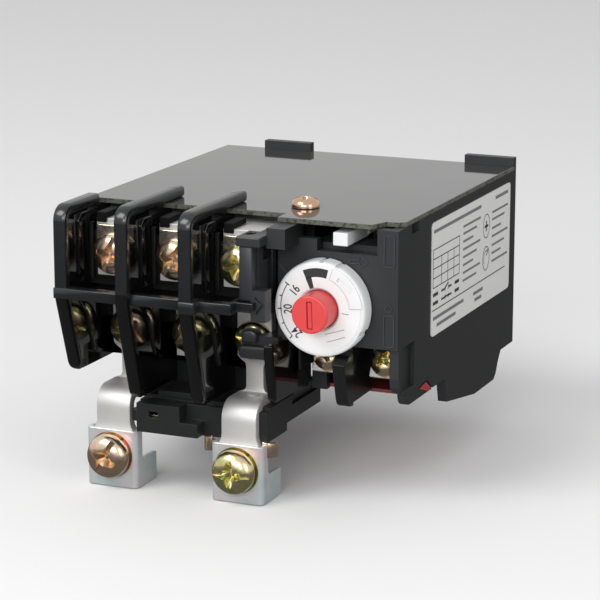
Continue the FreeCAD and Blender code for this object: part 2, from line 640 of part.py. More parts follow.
def connecting_tab(i, x):
    """Bent tab from the lower terminal to the contactor side, with its clamp hardware."""
    seat = behind(s.lower_seat)
    t = s.strip_thick
    top = s.tab_shelf
    top_end = s.lower_screw_z + 6.4
    profile = [(seat, top_end), (seat, top)]
    profile += rounded((front(s.tab_reach - t), top), s.tab_bend, (1, 0), (0, -1))
    profile += [(front(s.tab_reach - t), s.tab_bottom), (front(s.tab_reach), s.tab_bottom)]
    profile += rounded((front(s.tab_reach), top + t), s.tab_bend + t, (0, -1), (1, 0))
    profile += [(seat - t, top + t), (seat - t, top_end)]
    bent = slab("tab_%d_bent" % i, "x", profile, x - s.tab_flare / 2, x + s.tab_flare / 2)
    wide, neck, flare = s.tab_width / 2, s.tab_neck / 2, s.tab_flare / 2
    step = s.lower_screw_z - 5.6
    shape = slab("tab_%d_face" % i, "y",
                 [(x - flare, s.tab_bottom), (x + flare, s.tab_bottom), (x + flare, s.clamp_top - 1),
                  (x + wide, s.clamp_top + 2), (x + wide, top + t + 0.4), (x + neck, top + t + 0.4),
                  (x + neck, step), (x + wide, step + 1.6), (x + wide, top_end),
                  (x - wide, top_end), (x - wide, step + 1.6), (x - neck, step),
                  (x - neck, top + t + 0.4), (x - wide, top + t + 0.4), (x - wide, s.clamp_top + 2),
                  (x - flare, s.clamp_top - 1)], front(20), behind(20))
    common = doc.addObject("Part::Common", "tab_%d_strip" % i)
    common.Base = bent
    common.Tool = shape
    holes = [rod("tab_%d_hole_up" % i, s.m4_shank, 4, (x, seat - 3, s.lower_screw_z)),
             rod("tab_%d_hole_low" % i, s.m5_shank, 5, (x, front(s.tab_reach + 2), s.clamp_screw_z))]
    node("tab_%d" % i, carved("tab_%d" % i, common, holes))

    face = front(s.tab_reach)
    w = s.clamp_width / 2
    mid = s.clamp_screw_z - 0.4
    channels = []
    for part, depth, low, high in (("ear", s.clamp_ear, s.clamp_bottom, mid),
                                   ("lip", s.clamp_lip, mid, s.clamp_top)):
        deep = face - t + depth
        points = [(x - w, deep)] + rounded((x - w, face - t), s.clamp_bend, (0, 1), (1, 0))
        points += rounded((x + w, face - t), s.clamp_bend, (-1, 0), (0, 1))
        points += [(x + w, deep), (x + w - 1.0, deep), (x + w - 1.0, face), (x - w + 1.0, face),
                   (x - w + 1.0, deep)]
        channels.append(slab("clamp_%d_%s" % (i, part), "z", points, low, high))
    bore = rod("clamp_%d_bore" % i, s.m5_shank, 4, (x, face - t - 1, s.clamp_screw_z))
    body = joined("clamp_%d_bent" % i, channels)
    node("clamp_plate_%d" % i, carved("clamp_plate_%d" % i, body, [bore]))

    washer = rod("spring_washer_%d_disc" % i, s.m5_head * 0.9, s.spring_washer,
                 (x, face - t - s.spring_washer, s.clamp_screw_z))
    eye = rod("spring_washer_%d_eye" % i, s.m5_shank, 4, (x, face - t - 3, s.clamp_screw_z))
    gap = box("spring_washer_%d_gap" % i, (x + 1, face - t - 3, s.clamp_screw_z + 1),
              (x + 1.7, face, s.clamp_screw_z + 6))
    node("spring_washer_%d" % i, carved("spring_washer_%d" % i, washer, [eye, gap]))

    screw = pan_screw("clamp_screw_%d" % i, s.m5_head, s.m5_shank, s.m5_high, 9.5)
    aim(screw, (x, face - t - s.spring_washer, s.clamp_screw_z))

    rear = face + t
    nut = box("nut_plate_%d_blank" % i, (x - 4.6, rear, s.clamp_screw_z - 4.6),
              (x + 4.6, rear + s.nut_thick, s.clamp_screw_z + 4.2))
    thread = rod("nut_plate_%d_thread" % i, s.m5_shank, 5, (x, rear - 1, s.clamp_screw_z))
    node("nut_plate_%d" % i, carved("nut_plate_%d" % i, nut, [thread]))


def lower_block_node():
    """Insulating block under the terminals that spaces the tabs."""
    left, right = poles[0] + 6.1, poles[2] + 6.3
    step = behind(6.8)
    back = front(4.6)
    low = block_top - 7.9
    pieces = [
        box("block_body", (left, back, low), (right, step, block_top - 0.8)),
        box("block_rear", (left, front(2.6), low + 1.8), (right, behind(26.8), block_top)),
        box("block_neck", (left + 2.4, behind(10), block_top), (right - 2.2, behind(24), s.floor_bottom)),
        box("block_boss", (left + 1, front(8.6), low + 3.6), (left + 12, back, block_top - 0.6)),
        box("block_boss_low", (left + 1, front(8.6), low + 0.4), (left + 16.5, back, low + 3.6)),
        box("block_top", (left + 4, back + 1.5, block_top), (left + 15, step, block_top + 1.3)),
    ]
    cuts = [
        box("block_slot_a", (left + 4.1, front(9), low + 4.0), (left + 6.5, behind(2), low + 5.5)),
        box("block_slot_b", (right - 10.4, front(5), low + 2.0), (right - 8.8, behind(2), low + 3.6)),
        box("block_side_slot", (right - 0.8, behind(10), block_top - 2.4),
            (right + 0.4, behind(25), block_top + 0.2)),
    ]
    node("lower_block", carved("lower_block", joined("block_mould", pieces), cuts))


TILT = 26                     # degrees that the control terminals look upward


def tilted(x, height=0):
    """A point above a control seat's face, measured along its screw."""
    run = math.cos(math.radians(TILT))
    rise = math.sin(math.radians(TILT))
    return (x, behind(s.control_face_depth) - run * height, s.control_face_z + rise * height)


def control_block_node():
    """Moulding with the control barrier and the two tilted terminal seats."""
    slope = math.tan(math.radians(TILT))
    low, high = s.floor_bottom, s.panel_bottom
    back = behind(s.control_back)
    at_low = behind(s.control_face_depth) - slope * (s.control_face_z - low)
    at_high = behind(s.control_face_depth) + slope * (high - s.control_face_z)
    pieces = [box("control_back", (panel_left + s.wall, behind(s.control_back - 1.4), low),
                  (half - s.leg, back, high))]
    holes = []
    for i, x in enumerate(control_x):
        pieces.append(slab("control_seat_%d" % i, "x",
                           [(at_low, low), (at_high, high), (back, high), (back, low)],
                           x - s.control_half, x + s.control_half))
        hole = rod("control_thread_%d" % i, s.m35_shank, 9, (0, 0, 0), "z")
        holes.append(hole)
        aim(hole, tilted(x, -7), TILT)
    x = control_barrier_x
    dial_low = -7.2
    edge = [(behind(0.4), high), (behind(0.2), dial_low), (front(s.control_reach), dial_low - 1.6)]
    edge += rounded((front(s.control_low_reach), s.barrier_bottom + 0.4), 2.2, (-0.27, 0.96), (1, 0))
    rim = edge + [(behind(2.6), s.barrier_bottom + 0.4), (behind(2.4), high)]
    edge += [(back, s.barrier_bottom + 0.6), (back, high)]
    pieces.append(slab("control_web", "x", edge, x - s.web / 2, x + s.web / 2))
    pieces.append(slab("control_rim", "x", rim, x - s.rim / 2, x + s.rim / 2))
    return node("control_block", carved("control_block", joined("control_mould", pieces), holes))


def control_terminal(i, x):
    """Plate, washer and screw of one control terminal, lying on its tilted seat."""
    wide = s.control_half - 0.1
    plate = box("control_plate_%d_blank" % i, (-wide, -3.7, 0), (wide, 3.7, s.control_plate))
    hole = rod("control_plate_%d_hole" % i, s.m35_shank, 4, (0, 0, -1), "z")
    aim(node("control_plate_%d" % i, carved("control_plate_%d" % i, plate, [hole])), tilted(x), TILT)
    disc = rod("control_washer_%d_disc" % i, wide, s.control_washer, (0, 0, 0), "z")
    eye = rod("control_washer_%d_eye" % i, s.m35_shank, 4, (0, 0, -1), "z")
    aim(node("control_washer_%d" % i, carved("control_washer_%d" % i, disc, [eye])),
        tilted(x, s.control_plate), TILT)
    screw = pan_screw("control_screw_%d" % i, s.m35_head, s.m35_shank, s.m35_high, 5.6)
    aim(screw, tilted(x, s.control_plate + s.control_washer), TILT)


def dial_nodes():
    """Setting dial with its hub and cam, the scale disc, and the clip behind the panel."""
    gap, wall = s.dial_gap, s.panel_thick
    bore = s.button_radius + s.button_fit
    face, radius = s.dial_face, s.dial_radius
    blank = turned("dial_blank", [
        (bore, face), (radius - 0.9, face), (radius, face - 0.9), (radius, gap), (s.dial_hub, gap),
        (s.dial_hub, -s.hub_depth), (s.stem_bore, -s.hub_depth), (s.stem_bore, 1.4 - s.hub_depth),
        (bore, 1.4 - s.hub_depth)])
    cam = rod("cam_disc", s.cam_radius, s.cam_depth, (s.cam_throw, 0, -s.hub_depth - s.cam_depth), "z")
    hole = rod("cam_bore", s.stem_bore, 8, (0, 0, -s.hub_depth - s.cam_depth - 1), "z")
    driver = box("driver_slot", (4.6, 4.2, face - 0.8), (8.2, 5.4, face + 1))
    aim(node("dial", carved("dial", joined("dial_solid", [blank, cam]), [hole, driver])),
        (dial_x, front(0), s.dial_z))
    disc = rod("scale_disc", radius - 1.0, 0.15, (0, 0, face), "z")
    eye = rod("scale_eye", bore + 0.3, 4, (0, 0, face - 1), "z")
    cutout = box("scale_cutout", (3.4, 0.8, face - 1), (12, 12, face + 1))
    aim(node("dial_scale", carved("dial_scale", disc, [eye, cutout])), (dial_x, front(0), s.dial_z))
    ring_at = -(wall + gap) - s.clip_thick
    ring = rod("dial_clip_ring", s.dial_hub + s.clip_rim, s.clip_thick, (0, 0, ring_at), "z")
    inner = rod("dial_clip_eye", s.dial_hub, 4, (0, 0, ring_at - 1), "z")
    gap_box = box("dial_clip_gap", (-1.6, 4, ring_at - 1), (1.6, 9, ring_at + 2))
    aim(node("dial_clip", carved("dial_clip", ring, [inner, gap_box])), (dial_x, front(0), s.dial_z))


def button_nodes():
    """Reset button, its clip behind the cam, and the leaf spring that pushes its stem out."""
    top = s.dial_face + s.button_reach
    end = -(s.hub_depth + s.cam_depth + s.slot_gap)
    blank = turned("button_blank", [
        (0, top), (s.button_radius - 0.5, top), (s.button_radius, top - 0.5),
        (s.button_radius, s.button_inner), (s.stem_radius, s.button_inner),
        (s.stem_radius, end - 1.6), (0, end - 1.6)])
    slot = box("button_slot", (-0.75, -3.4, top - 1.4), (0.75, 3.4, top + 1))
    aim(node("reset_button", carved("reset_button", blank, [slot])), (dial_x, front(0), s.dial_z))
    ring = rod("button_clip_ring", s.stem_radius + 1.3, 0.8, (0, 0, end - 0.8), "z")
    eye = rod("button_clip_eye", s.stem_radius, 4, (0, 0, end - 2), "z")
    aim(node("button_clip", carved("button_clip", ring, [eye])), (dial_x, front(0), s.dial_z))
    leaf = s.leaf_thick
    rest = behind(-(end - 1.6) + 0.1)                # the leaf's tip stands just behind the stem
    post = behind(s.post_front)
    node("reset_spring", slab("reset_spring", "x", [
        (post, s.dial_z - 7), (post, s.dial_z - 3), (rest + leaf, s.dial_z - 0.6),
        (rest + leaf, s.dial_z + 1.6),
        (rest, s.dial_z + 1.6), (rest, s.dial_z - 0.9), (post - leaf, s.dial_z - 3.3),
        (post - leaf, s.dial_z - 7)], dial_x - 1.6, dial_x + 1.6))


def mechanism_nodes():
    """Bimetals, heaters, pusher bar, contact arm and trip lever."""
    y = s.bimetal_y
    strip_low = s.strip_top - s.strip_thick
    for i, x in ((1, poles[0]), (3, poles[2])):
        node("bimetal_%d" % i, box("bimetal_%d" % i, (x - s.bimetal_thick / 2, behind(y - 2.5), s.bimetal_bottom),
                                   (x + s.bimetal_thick / 2, behind(y + 2.5), strip_low)))
        lead = slab("heater_%d_lead" % i, "x",
                    [(behind(s.lower_seat), lead_low), (behind(17.8), lead_low), (behind(17.8), 5.0),
                     (behind(16.6), 5.0), (behind(16.6), lead_high), (behind(s.lower_seat), lead_high)],
                    x - 1.5, x + 1.5)
        sleeve = box("heater_%d_sleeve" % i, (x - 2.6, behind(16.6), 4), (x + 2.6, behind(27.4), 15))
        window = box("heater_%d_window" % i, (x - 1.4, behind(y - 2.9), 3), (x + 1.4, behind(y + 2.9), 16))
        body = joined("heater_%d_body" % i, [lead, sleeve])
        node("heater_%d" % i, carved("heater_%d" % i, body, [window]))
    x = poles[1]
    node("link_2", slab("link_2", "x",
                        [(behind(s.lower_seat), lead_low), (behind(26), lead_low), (behind(26), strip_low),
                         (behind(24.8), strip_low), (behind(24.8), lead_high),
                         (behind(s.lower_seat), lead_high)], x - 1.5, x + 1.5))
    slots = []
    low, high = s.pusher_z - s.pusher_thick / 2, s.pusher_z + s.pusher_thick / 2
    for i, x in ((1, poles[0]), (3, poles[2])):
        slots.append(box("pusher_slot_%d" % i,
                         (x - s.bimetal_thick / 2 - s.pusher_travel - s.slot_gap, behind(y - 2.9), low - 1),
                         (x + s.bimetal_thick / 2 + s.slot_gap, behind(y + 2.9), high + 1)))
    bar = box("pusher_blank", (poles[0] - 4.5, behind(18.4), low),
              (arm_x - s.arm_thick / 2 - s.slot_gap, behind(27), high))
    node("pusher_bar", carved("pusher_bar", bar, slots))

    arm_half = s.arm_thick / 2
    blade = box("arm_blade", (arm_x - arm_half, behind(arm_front), s.pusher_z - 1.4),
                (arm_x + arm_half, behind(arm_front + s.arm_deep), s.arm_top))
    boss = rod("arm_boss", s.pin_radius + 1.35, s.arm_deep, (arm_x, behind(arm_front), s.arm_pivot_z))
    rivet = rod("arm_contact", 1.5, 1.0, (arm_x + arm_half, behind(arm_front + 2), s.contact_z), "x")
    bore = rod("arm_bore", s.pin_radius + s.pin_fit, 9, (arm_x, behind(arm_front - 1), s.arm_pivot_z))
    node("contact_arm", carved("contact_arm", joined("arm_solid", [blade, boss, rivet]), [bore]))
    pin = joined("pivot_pin", [
        rod("pin_shaft", s.pin_radius, 10.4, (arm_x, behind(arm_front - 0.4), s.arm_pivot_z)),
        rod("pin_head", s.pin_radius + 0.9, 1.2, (arm_x, behind(arm_front - 1.6), s.arm_pivot_z))])
    node("pivot_pin", pin)
    near = arm_x + arm_half + 1.0 + s.slot_gap
    node("fixed_contact", joined("fixed_contact", [
        rod("fixed_rivet", 1.5, 1.0, (near, behind(arm_front + 2), s.contact_z), "x"),
        box("fixed_bracket", (near + 0.6, behind(arm_front), s.contact_z - 2),
            (arm_x + 6.5, behind(arm_front + 4), s.contact_z + 2))]))

    tip = (lever_left, front(s.lever_reach), s.lever_bottom)
    prongs = []
    for side, sign in (("a", -1), ("b", 1)):
        inner = arm_x + sign * (arm_half + s.fork_gap)
        outer = inner + sign * 1.0
        left, right = (outer, inner) if sign < 0 else (inner, outer)
        prongs.append(box("prong_%s" % side, (left, behind(arm_front + 1), s.arm_top - 1.2),
                          (right, behind(arm_front + 5), s.lever_bottom + 0.8)))
    lever = joined("lever_solid", [
        box("lever_head", tip, (lever_right, behind(12), s.lever_top)),
        box("lever_tail", (lever_left - 0.8, behind(11), s.arm_top + 0.4),
            (lever_right + 0.6, behind(s.lever_depth), s.lever_top))] + prongs)
    node("trip_lever", lever)


def trim_nodes():
    """Side label and the fibre sheet under the floor."""
    fore, aft, corner = behind(s.label_front), -s.label_rear, s.label_corner
    low, high = s.label_bottom, s.case_top - s.label_below
    label = slab("side_label", "x",
                 [(fore + corner, low), (aft - corner, low), (aft, low + corner), (aft, high - corner),
                  (aft - corner, high), (fore + corner, high), (fore, high - corner), (fore, low + corner)],
                 half, half + s.label_thick)
    node("side_label", label)
    left, right = panel_left + s.wall + 0.2, half - s.leg - 0.1
    low, high = s.skirt_bottom - 1.0, s.floor_bottom
    tray = [(left, high), (left, low), (right, low), (right, high), (right - 0.8, high),
            (right - 0.8, low + 0.8),
            (left + 0.8, low + 0.8), (left + 0.8, high)]
    node("bottom_sheet", slab("bottom_sheet", "y", tray, behind(s.control_back + 2), -8))


def main():
    case_node()
    upper_barriers_node()
    lower_barriers_node()
    cover_nodes()
    for i, x in enumerate(poles, start=1):
        upper_terminal(i, x)
        lower_terminal(i, x)
    connecting_tab(1, poles[0])
    connecting_tab(3, poles[2])
    lower_block_node()
    control_block_node()
    for i, x in enumerate(control_x, start=1):
        control_terminal(i, x)
    dial_nodes()
    button_nodes()
    mechanism_nodes()
    trim_nodes()


main()
doc.recompute()
for thing in doc.Objects:
    if "Invalid" in thing.State or "Error" in thing.State:
        raise RuntimeError("%s: %s" % (thing.Name, thing.State))
os.makedirs("parts", exist_ok=True)
for name, thing in nodes:
    shape = thing.Shape
    if shape.isNull() or not shape.isValid():
        raise RuntimeError("%s has no valid shape" % name)
    if len(shape.Solids) != 1:
        print("%s has %d solids" % (name, len(shape.Solids)))
    shape.exportStep("parts/%s.step" % name)
    print(name, "%.1f mm3" % shape.Volume)
print("%d nodes" % len(nodes))
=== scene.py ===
import bpy
import bmesh
import json
import math
from mathutils import Matrix, Vector


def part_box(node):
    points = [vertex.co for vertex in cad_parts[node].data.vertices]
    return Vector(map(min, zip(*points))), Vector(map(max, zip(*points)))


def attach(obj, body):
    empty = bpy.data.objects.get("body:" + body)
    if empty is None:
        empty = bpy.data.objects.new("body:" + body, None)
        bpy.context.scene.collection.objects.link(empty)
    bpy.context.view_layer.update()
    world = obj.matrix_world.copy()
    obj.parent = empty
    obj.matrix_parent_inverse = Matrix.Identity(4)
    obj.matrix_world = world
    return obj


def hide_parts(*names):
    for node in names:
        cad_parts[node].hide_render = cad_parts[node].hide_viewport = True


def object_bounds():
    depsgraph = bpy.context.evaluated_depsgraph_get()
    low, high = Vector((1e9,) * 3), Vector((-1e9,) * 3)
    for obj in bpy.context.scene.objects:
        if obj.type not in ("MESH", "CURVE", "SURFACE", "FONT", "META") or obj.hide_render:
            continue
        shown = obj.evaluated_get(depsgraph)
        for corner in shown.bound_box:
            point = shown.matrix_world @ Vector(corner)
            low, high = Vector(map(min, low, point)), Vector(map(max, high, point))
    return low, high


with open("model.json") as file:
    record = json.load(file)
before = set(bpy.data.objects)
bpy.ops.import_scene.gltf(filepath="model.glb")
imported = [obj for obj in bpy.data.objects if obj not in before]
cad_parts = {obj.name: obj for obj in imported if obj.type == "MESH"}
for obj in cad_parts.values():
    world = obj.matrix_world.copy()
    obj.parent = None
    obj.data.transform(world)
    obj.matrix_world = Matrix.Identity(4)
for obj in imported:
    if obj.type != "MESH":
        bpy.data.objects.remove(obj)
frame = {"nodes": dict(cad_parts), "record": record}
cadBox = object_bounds()
nodes = frame["nodes"]
scene = bpy.context.scene
mm = 0.001
print("frame loaded:", len(nodes), "nodes")


class Wire:
    # one socket of a node tree, so that sums on it add Math nodes
    def __init__(self, paint, socket):
        self.paint = paint
        self.socket = socket

    def maths(self, operation, a, b=0.0):
        return self.paint.add("ShaderNodeMath", {"operation": operation}, {0: a, 1: b})

    def __add__(self, other):
        return self.maths("ADD", self, other)

    def __radd__(self, other):
        return self.maths("ADD", other, self)

    def __rsub__(self, other):
        return self.maths("SUBTRACT", other, self)

    def __mul__(self, other):
        return self.maths("MULTIPLY", self, other)

    def __rmul__(self, other):
        return self.maths("MULTIPLY", other, self)

    def above(self, other):
        return self.maths("GREATER_THAN", self, other)

    def size(self):
        return self.maths("ABSOLUTE", self)


class Paint:
    # the nodes of a material, or of the world, with one method for any node
    def __init__(self, name, kind=bpy.data.materials, shader="Principled BSDF"):
        self.owner = kind.new(name)
        self.owner.use_nodes = True
        self.tree = self.owner.node_tree
        self.shader = self.tree.nodes[shader]

    def feed(self, socket, value):
        if isinstance(value, Wire):
            self.tree.links.new(value.socket, socket)
        else:
            socket.default_value = value

    def add(self, kind, settings=None, inputs=None, output=0):
        node = self.tree.nodes.new(kind)
        for key, value in (settings or {}).items():
            if key == "stops":
                ramp = node.color_ramp.elements
                while len(ramp) < len(value):
                    ramp.new(0.5)
                for stop, (place, colour) in zip(ramp, value):
                    stop.position = place
                    stop.color = colour
            else:
                setattr(node, key, value)
        for key, value in (inputs or {}).items():
            self.feed(node.inputs[key], value)
        return Wire(self, node.outputs[output])

    def place(self, stretch):
        # object position in millimetres
        spot = self.add("ShaderNodeTexCoord", output="Object")
        return self.add("ShaderNodeVectorMath", {"operation": "MULTIPLY"},
                        {0: spot, 1: [1000 * s for s in stretch]})

    def noise(self, scale, detail, stretch=(1, 1, 1)):
        values = {"Vector": self.place(stretch), "Scale": scale, "Detail": detail}
        return self.add("ShaderNodeTexNoise", {}, values)

    def ramp(self, value, *stops):
        full = [(place, (*colour, 1)) for place, colour in stops]
        return self.add("ShaderNodeValToRGB", {"stops": full}, {0: value})

    def mix(self, amount, a, b):
        a, b = [c if isinstance(c, Wire) else (*c, 1) for c in (a, b)]
        return self.add("ShaderNodeMix", {"data_type": "RGBA"}, {0: amount, 6: a, 7: b}, 2)

    def bump(self, height, distance):
        # distance in millimetres
        values = {"Strength": 1.0, "Distance": distance * mm, "Height": height}
        normal = self.add("ShaderNodeBump", {}, values)
        self.feed(self.shader.inputs["Normal"], normal)

    def surface(self, **values):
        names = {"colour": "Base Color", "rough": "Roughness", "metal": "Metallic",
                 "gloss": "Specular IOR Level"}
        for key, value in values.items():
            if isinstance(value, tuple):
                value = (*value, 1)
            self.feed(self.shader.inputs[names[key]], value)
        return self.owner


def moulded(name, colour, worn, rough, gloss=0.5, wave=0.05, grain=0.06):
    # phenolic moulding with a faint flow mottle and an uneven skin
    p = Paint(name)
    flow = p.noise(0.12, 3)
    p.bump(flow * 0.8 + p.noise(2.2, 4) * grain, wave)
    return p.surface(colour=p.mix(flow * 0.45, colour, worn), rough=rough + 0.08 * p.noise(0.5, 4),
                     gloss=gloss)


def coverGloss():
    # laminate sheet: mirror-like grey-green face, duller cut edge
    p = Paint("coverGloss")
    facing = p.add("ShaderNodeSeparateXYZ", {}, {0: p.add("ShaderNodeNewGeometry", output="True Normal")}, 2)
    top = facing.size().above(0.7)
    cloud = p.noise(0.06, 2)
    fibre = p.noise(1.6, 3, (1, 1, 6))
    specks = p.noise(1.1, 5).above(0.56)
    ply = p.mix(fibre, (0.060, 0.066, 0.050), (0.125, 0.13, 0.10))
    edge = p.mix(specks * 0.75, ply, (0.018, 0.02, 0.016))
    face = p.mix(cloud, (0.030, 0.031, 0.028), (0.050, 0.051, 0.046))
    p.bump(cloud, 0.03)
    return p.surface(colour=p.mix(top, edge, face), rough=0.42 - 0.36 * top)


def casePaint():
    # the dial panel is textured, and its greyer colour than the smooth side walls is painted sheen
    p = Paint("caseMouldingPanelSheen")
    normal = p.add("ShaderNodeNewGeometry", output="True Normal")
    side = p.add("ShaderNodeSeparateXYZ", {}, {0: normal}, 0).size().above(0.7)
    flow = p.noise(0.12, 3)
    grain = p.noise(2.6, 4)
    # front faces get a lighter colour as painted sheen; side faces keep the darker moulding
    panel = p.mix(flow * 0.45, (0.020, 0.0215, 0.024), (0.032, 0.034, 0.037))
    wall = p.mix(flow * 0.45, (0.010, 0.0105, 0.011), (0.018, 0.019, 0.020))
    p.bump(flow * 0.7 + grain * (0.28 - 0.2 * side), 0.04)
    return p.surface(colour=p.mix(side, panel, wall), rough=0.42 - 0.10 * side + 0.08 * flow, gloss=0.42)


def passivated(name, base, blush, green, rough):
    # yellow zinc film whose colour drifts between hues
    p = Paint(name)
    hue = p.noise(0.33, 3)
    spots = p.noise(1.3, 3)
    film = p.ramp(hue, (0.34, blush), (0.47, base), (0.60, green), (0.72, blush))
    p.bump(p.noise(3.0, 3), 0.012)
    return p.surface(colour=p.mix(spots * 0.35, film, base), metal=1.0, rough=rough + 0.14 * spots)


def clearZinc():
    # bright zinc: pale green-blue, drifting to violet and rose
    p = Paint("clearZinc")
    hue = p.noise(0.16, 2)
    film = p.ramp(hue, (0.34, (0.56, 0.64, 0.66)), (0.50, (0.66, 0.70, 0.69)), (0.60, (0.68, 0.66, 0.68)),
                  (0.70, (0.74, 0.60, 0.62)))
    p.bump(p.noise(4.0, 2, (1, 1, 0.15)), 0.008)
    return p.surface(colour=film, metal=0.55, rough=0.26 + 0.14 * p.noise(0.8, 3))


def silvered():
    # matt plated copper with a fine grain, a little clouded
    p = Paint("silvered")
    tone = (0.70, 0.69, 0.67)
    cloud = p.noise(0.25, 4)
    grain = p.noise(3.2, 4)
    plain = p.mix(cloud * 0.5 + grain * 0.4, tuple(0.86 * c for c in tone), tone)
    p.bump(grain, 0.02)
    return p.surface(colour=plain, metal=0.70, rough=0.46 + 0.14 * p.noise(1.2, 3))


def plainPlastic(name, colour, rough, shade=0.93, skin=0.01):
    # moulded plastic with a slight cloud and a fine skin
    p = Paint(name)
    cloud = p.noise(0.3, 3)
    p.bump(p.noise(6.0, 3), skin)
    return p.surface(colour=p.mix(cloud, tuple(shade * c for c in colour), colour),
                     rough=rough + 0.08 * cloud)


def plainMetal(name, colour, rough):
    # bright metal with a slight cloud and fine drawn lines
    p = Paint(name)
    cloud = p.noise(0.8, 3)
    p.bump(p.noise(6.0, 2, (1, 1, 0.2)), 0.006)
    return p.surface(colour=p.mix(cloud, tuple(0.85 * c for c in colour), colour), metal=1.0,
                     rough=rough + 0.1 * cloud)


paints = {
    "moulding": moulded("blackMoulding", (0.006, 0.0062, 0.0068), (0.014, 0.0145, 0.0155), 0.20),
    "cover": coverGloss(),
    "silvered": silvered(),
    "yellow_zinc": passivated("yellowZinc", (0.78, 0.63, 0.36), (0.80, 0.52, 0.42), (0.62, 0.62, 0.34), 0.16),
    "clear_zinc": clearZinc(),
    "white_plastic": plainPlastic("whitePlastic", (0.72, 0.73, 0.735), 0.33, 0.9, 0.02),
    "scale": plainPlastic("scaleFilm", (0.74, 0.735, 0.74), 0.30),
    "red_plastic": plainPlastic("redPlastic", (0.66, 0.055, 0.055), 0.30, 0.84, 0.02),
    "spring_steel": plainMetal("springSteel", (0.55, 0.56, 0.58), 0.25),
    "bimetal": plainMetal("bimetal", (0.55, 0.52, 0.48), 0.35),
    "brass": plainMetal("brass", (0.75, 0.56, 0.28), 0.28),
    "pusher_plastic": plainPlastic("pusherPlastic", (0.60, 0.55, 0.44), 0.4),
    "label": plainPlastic("labelFilm", (0.62, 0.62, 0.605), 0.38, 0.97),
    "fibre": plainPlastic("fibreSheet", (0.22, 0.035, 0.03), 0.5),
}
# finishes that differ within one slot; the copies of the black moulding, and one zinc copy, differ in colour
# as painted light: the lighter ones carry painted sheen or highlight, the darker ones painted shade
finishAndPaintedLight = {
    # rims: lighter, bluer copy of the black moulding; the colour is painted sheen, the gloss is the
    # material's
    "rim": moulded("rimSheenMoulding", (0.0075, 0.0082, 0.0095), (0.016, 0.017, 0.019), 0.17, 0.62, 0.03),
    # webs: darker copy of the black moulding; the darker colour is painted shade, the mirror gloss is the
    # material's
    "web": moulded("webShadeMoulding", (0.0032, 0.0033, 0.0034), (0.0065, 0.0066, 0.0068), 0.02, 0.9, 0.02),
    # lower rims, facing down: darker, duller copy of the moulding as painted shade
    "slant": moulded("slantShadeMoulding", (0.0035, 0.0037, 0.0036), (0.007, 0.007, 0.007), 0.14, 0.4, 0.03),
    # pole shield and pointer block: lighter copy of the moulding; the colour is painted sheen, the texture is
    # the material's
    "shield": moulded("shieldSheenMoulding", (0.020, 0.022, 0.025), (0.034, 0.036, 0.040), 0.36, 0.45, 0.03, 0.2),
    # hooks under the plate: darker, duller copy of the moulding as painted shade
    "dark": moulded("shadedHookMoulding", (0.003, 0.0032, 0.0035), (0.006, 0.0062, 0.0065), 0.55, 0.12, 0.03, 0.1),
    # cap and terminal noses: lighter copy of the moulding as painted sheen
    "cap": moulded("capSheenMoulding", (0.018, 0.019, 0.021), (0.034, 0.034, 0.036), 0.30, 0.6, 0.03),
    # lower block and its lug: lighter copy of the moulding as painted sheen
    "block": moulded("blockSheenMoulding", (0.010, 0.0105, 0.0108), (0.019, 0.020, 0.021), 0.34, 0.4, 0.03, 0.12),
    "blush": passivated("pinkZinc", (0.80, 0.62, 0.46), (0.82, 0.50, 0.44), (0.66, 0.58, 0.36), 0.17),
    "gold": passivated("goldZinc", (0.74, 0.64, 0.34), (0.78, 0.54, 0.40), (0.50, 0.56, 0.26), 0.17),
    # zinc darkened as painted shade, for the lower washers and the strip in its slot
    "zincInShade": passivated("shadedZinc", (0.46, 0.42, 0.24), (0.50, 0.34, 0.26), (0.24, 0.34, 0.20), 0.22),
    "copper": passivated("copperZinc", (0.62, 0.38, 0.26), (0.66, 0.33, 0.27), (0.56, 0.42, 0.26), 0.12),
    "pale": passivated("paleZinc", (0.80, 0.74, 0.62), (0.80, 0.62, 0.50), (0.62, 0.60, 0.44), 0.20),
    "fibreEdge": plainPlastic("fibreEdge", (0.30, 0.03, 0.03), 0.42),
    # raised panel marks: lighter copy of the moulding as painted highlight
    "mark": moulded("markHighlightMoulding", (0.034, 0.037, 0.042), (0.050, 0.053, 0.058), 0.34, 0.5, 0.03, 0.2),
    "ink": plainPlastic("printInk", (0.030, 0.030, 0.032), 0.4),
    "greyInk": plainPlastic("greyInk", (0.16, 0.16, 0.17), 0.4),
}
for entry in frame["record"]["subparts"]:
    cad = nodes[entry["node"]]
    cad.data.materials.clear()
    cad.data.materials.append(paints[entry["material_slot"]])
print("materials:", len(paints) + len(finishAndPaintedLight))


def edges(node):
    # lowest and highest x, y, z of a node in millimetres
    low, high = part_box(node)
    return [v / mm for v in (*low, *high)]


def softenFrame(name, width):
    # rounds the edges of a carried-over solid without touching its mesh
    cad = nodes[name]
    weld = cad.modifiers.new("weld", "WELD")
    weld.merge_threshold = 1e-6
    flat = cad.modifiers.new("flat", "DECIMATE")
    flat.decimate_type = "DISSOLVE"
    flat.angle_limit = math.radians(1)
    addBevel(cad, width, 3, 35)


def addBevel(item, width, steps=2, angle=30):
    bevel = item.modifiers.new("bevel", "BEVEL")
    bevel.width = width * mm
    bevel.segments = steps
    bevel.limit_method = "ANGLE"
    bevel.angle_limit = math.radians(angle)
    item.modifiers.new("normals", "WEIGHTED_NORMAL").keep_sharp = True


def softened(item, width, steps=2):
    addBevel(item, width, steps)
    return applied(item)


def placed(name, data):
    # new object in the scene
    item = bpy.data.objects.new(name, data)
    scene.collection.objects.link(item)
    return item


def smoothed(mesh, angle=35):
    # smooth shading; edges sharper than the angle stay sharp
    mesh.shade_smooth()
    mesh.set_sharp_from_angle(angle=math.radians(angle))


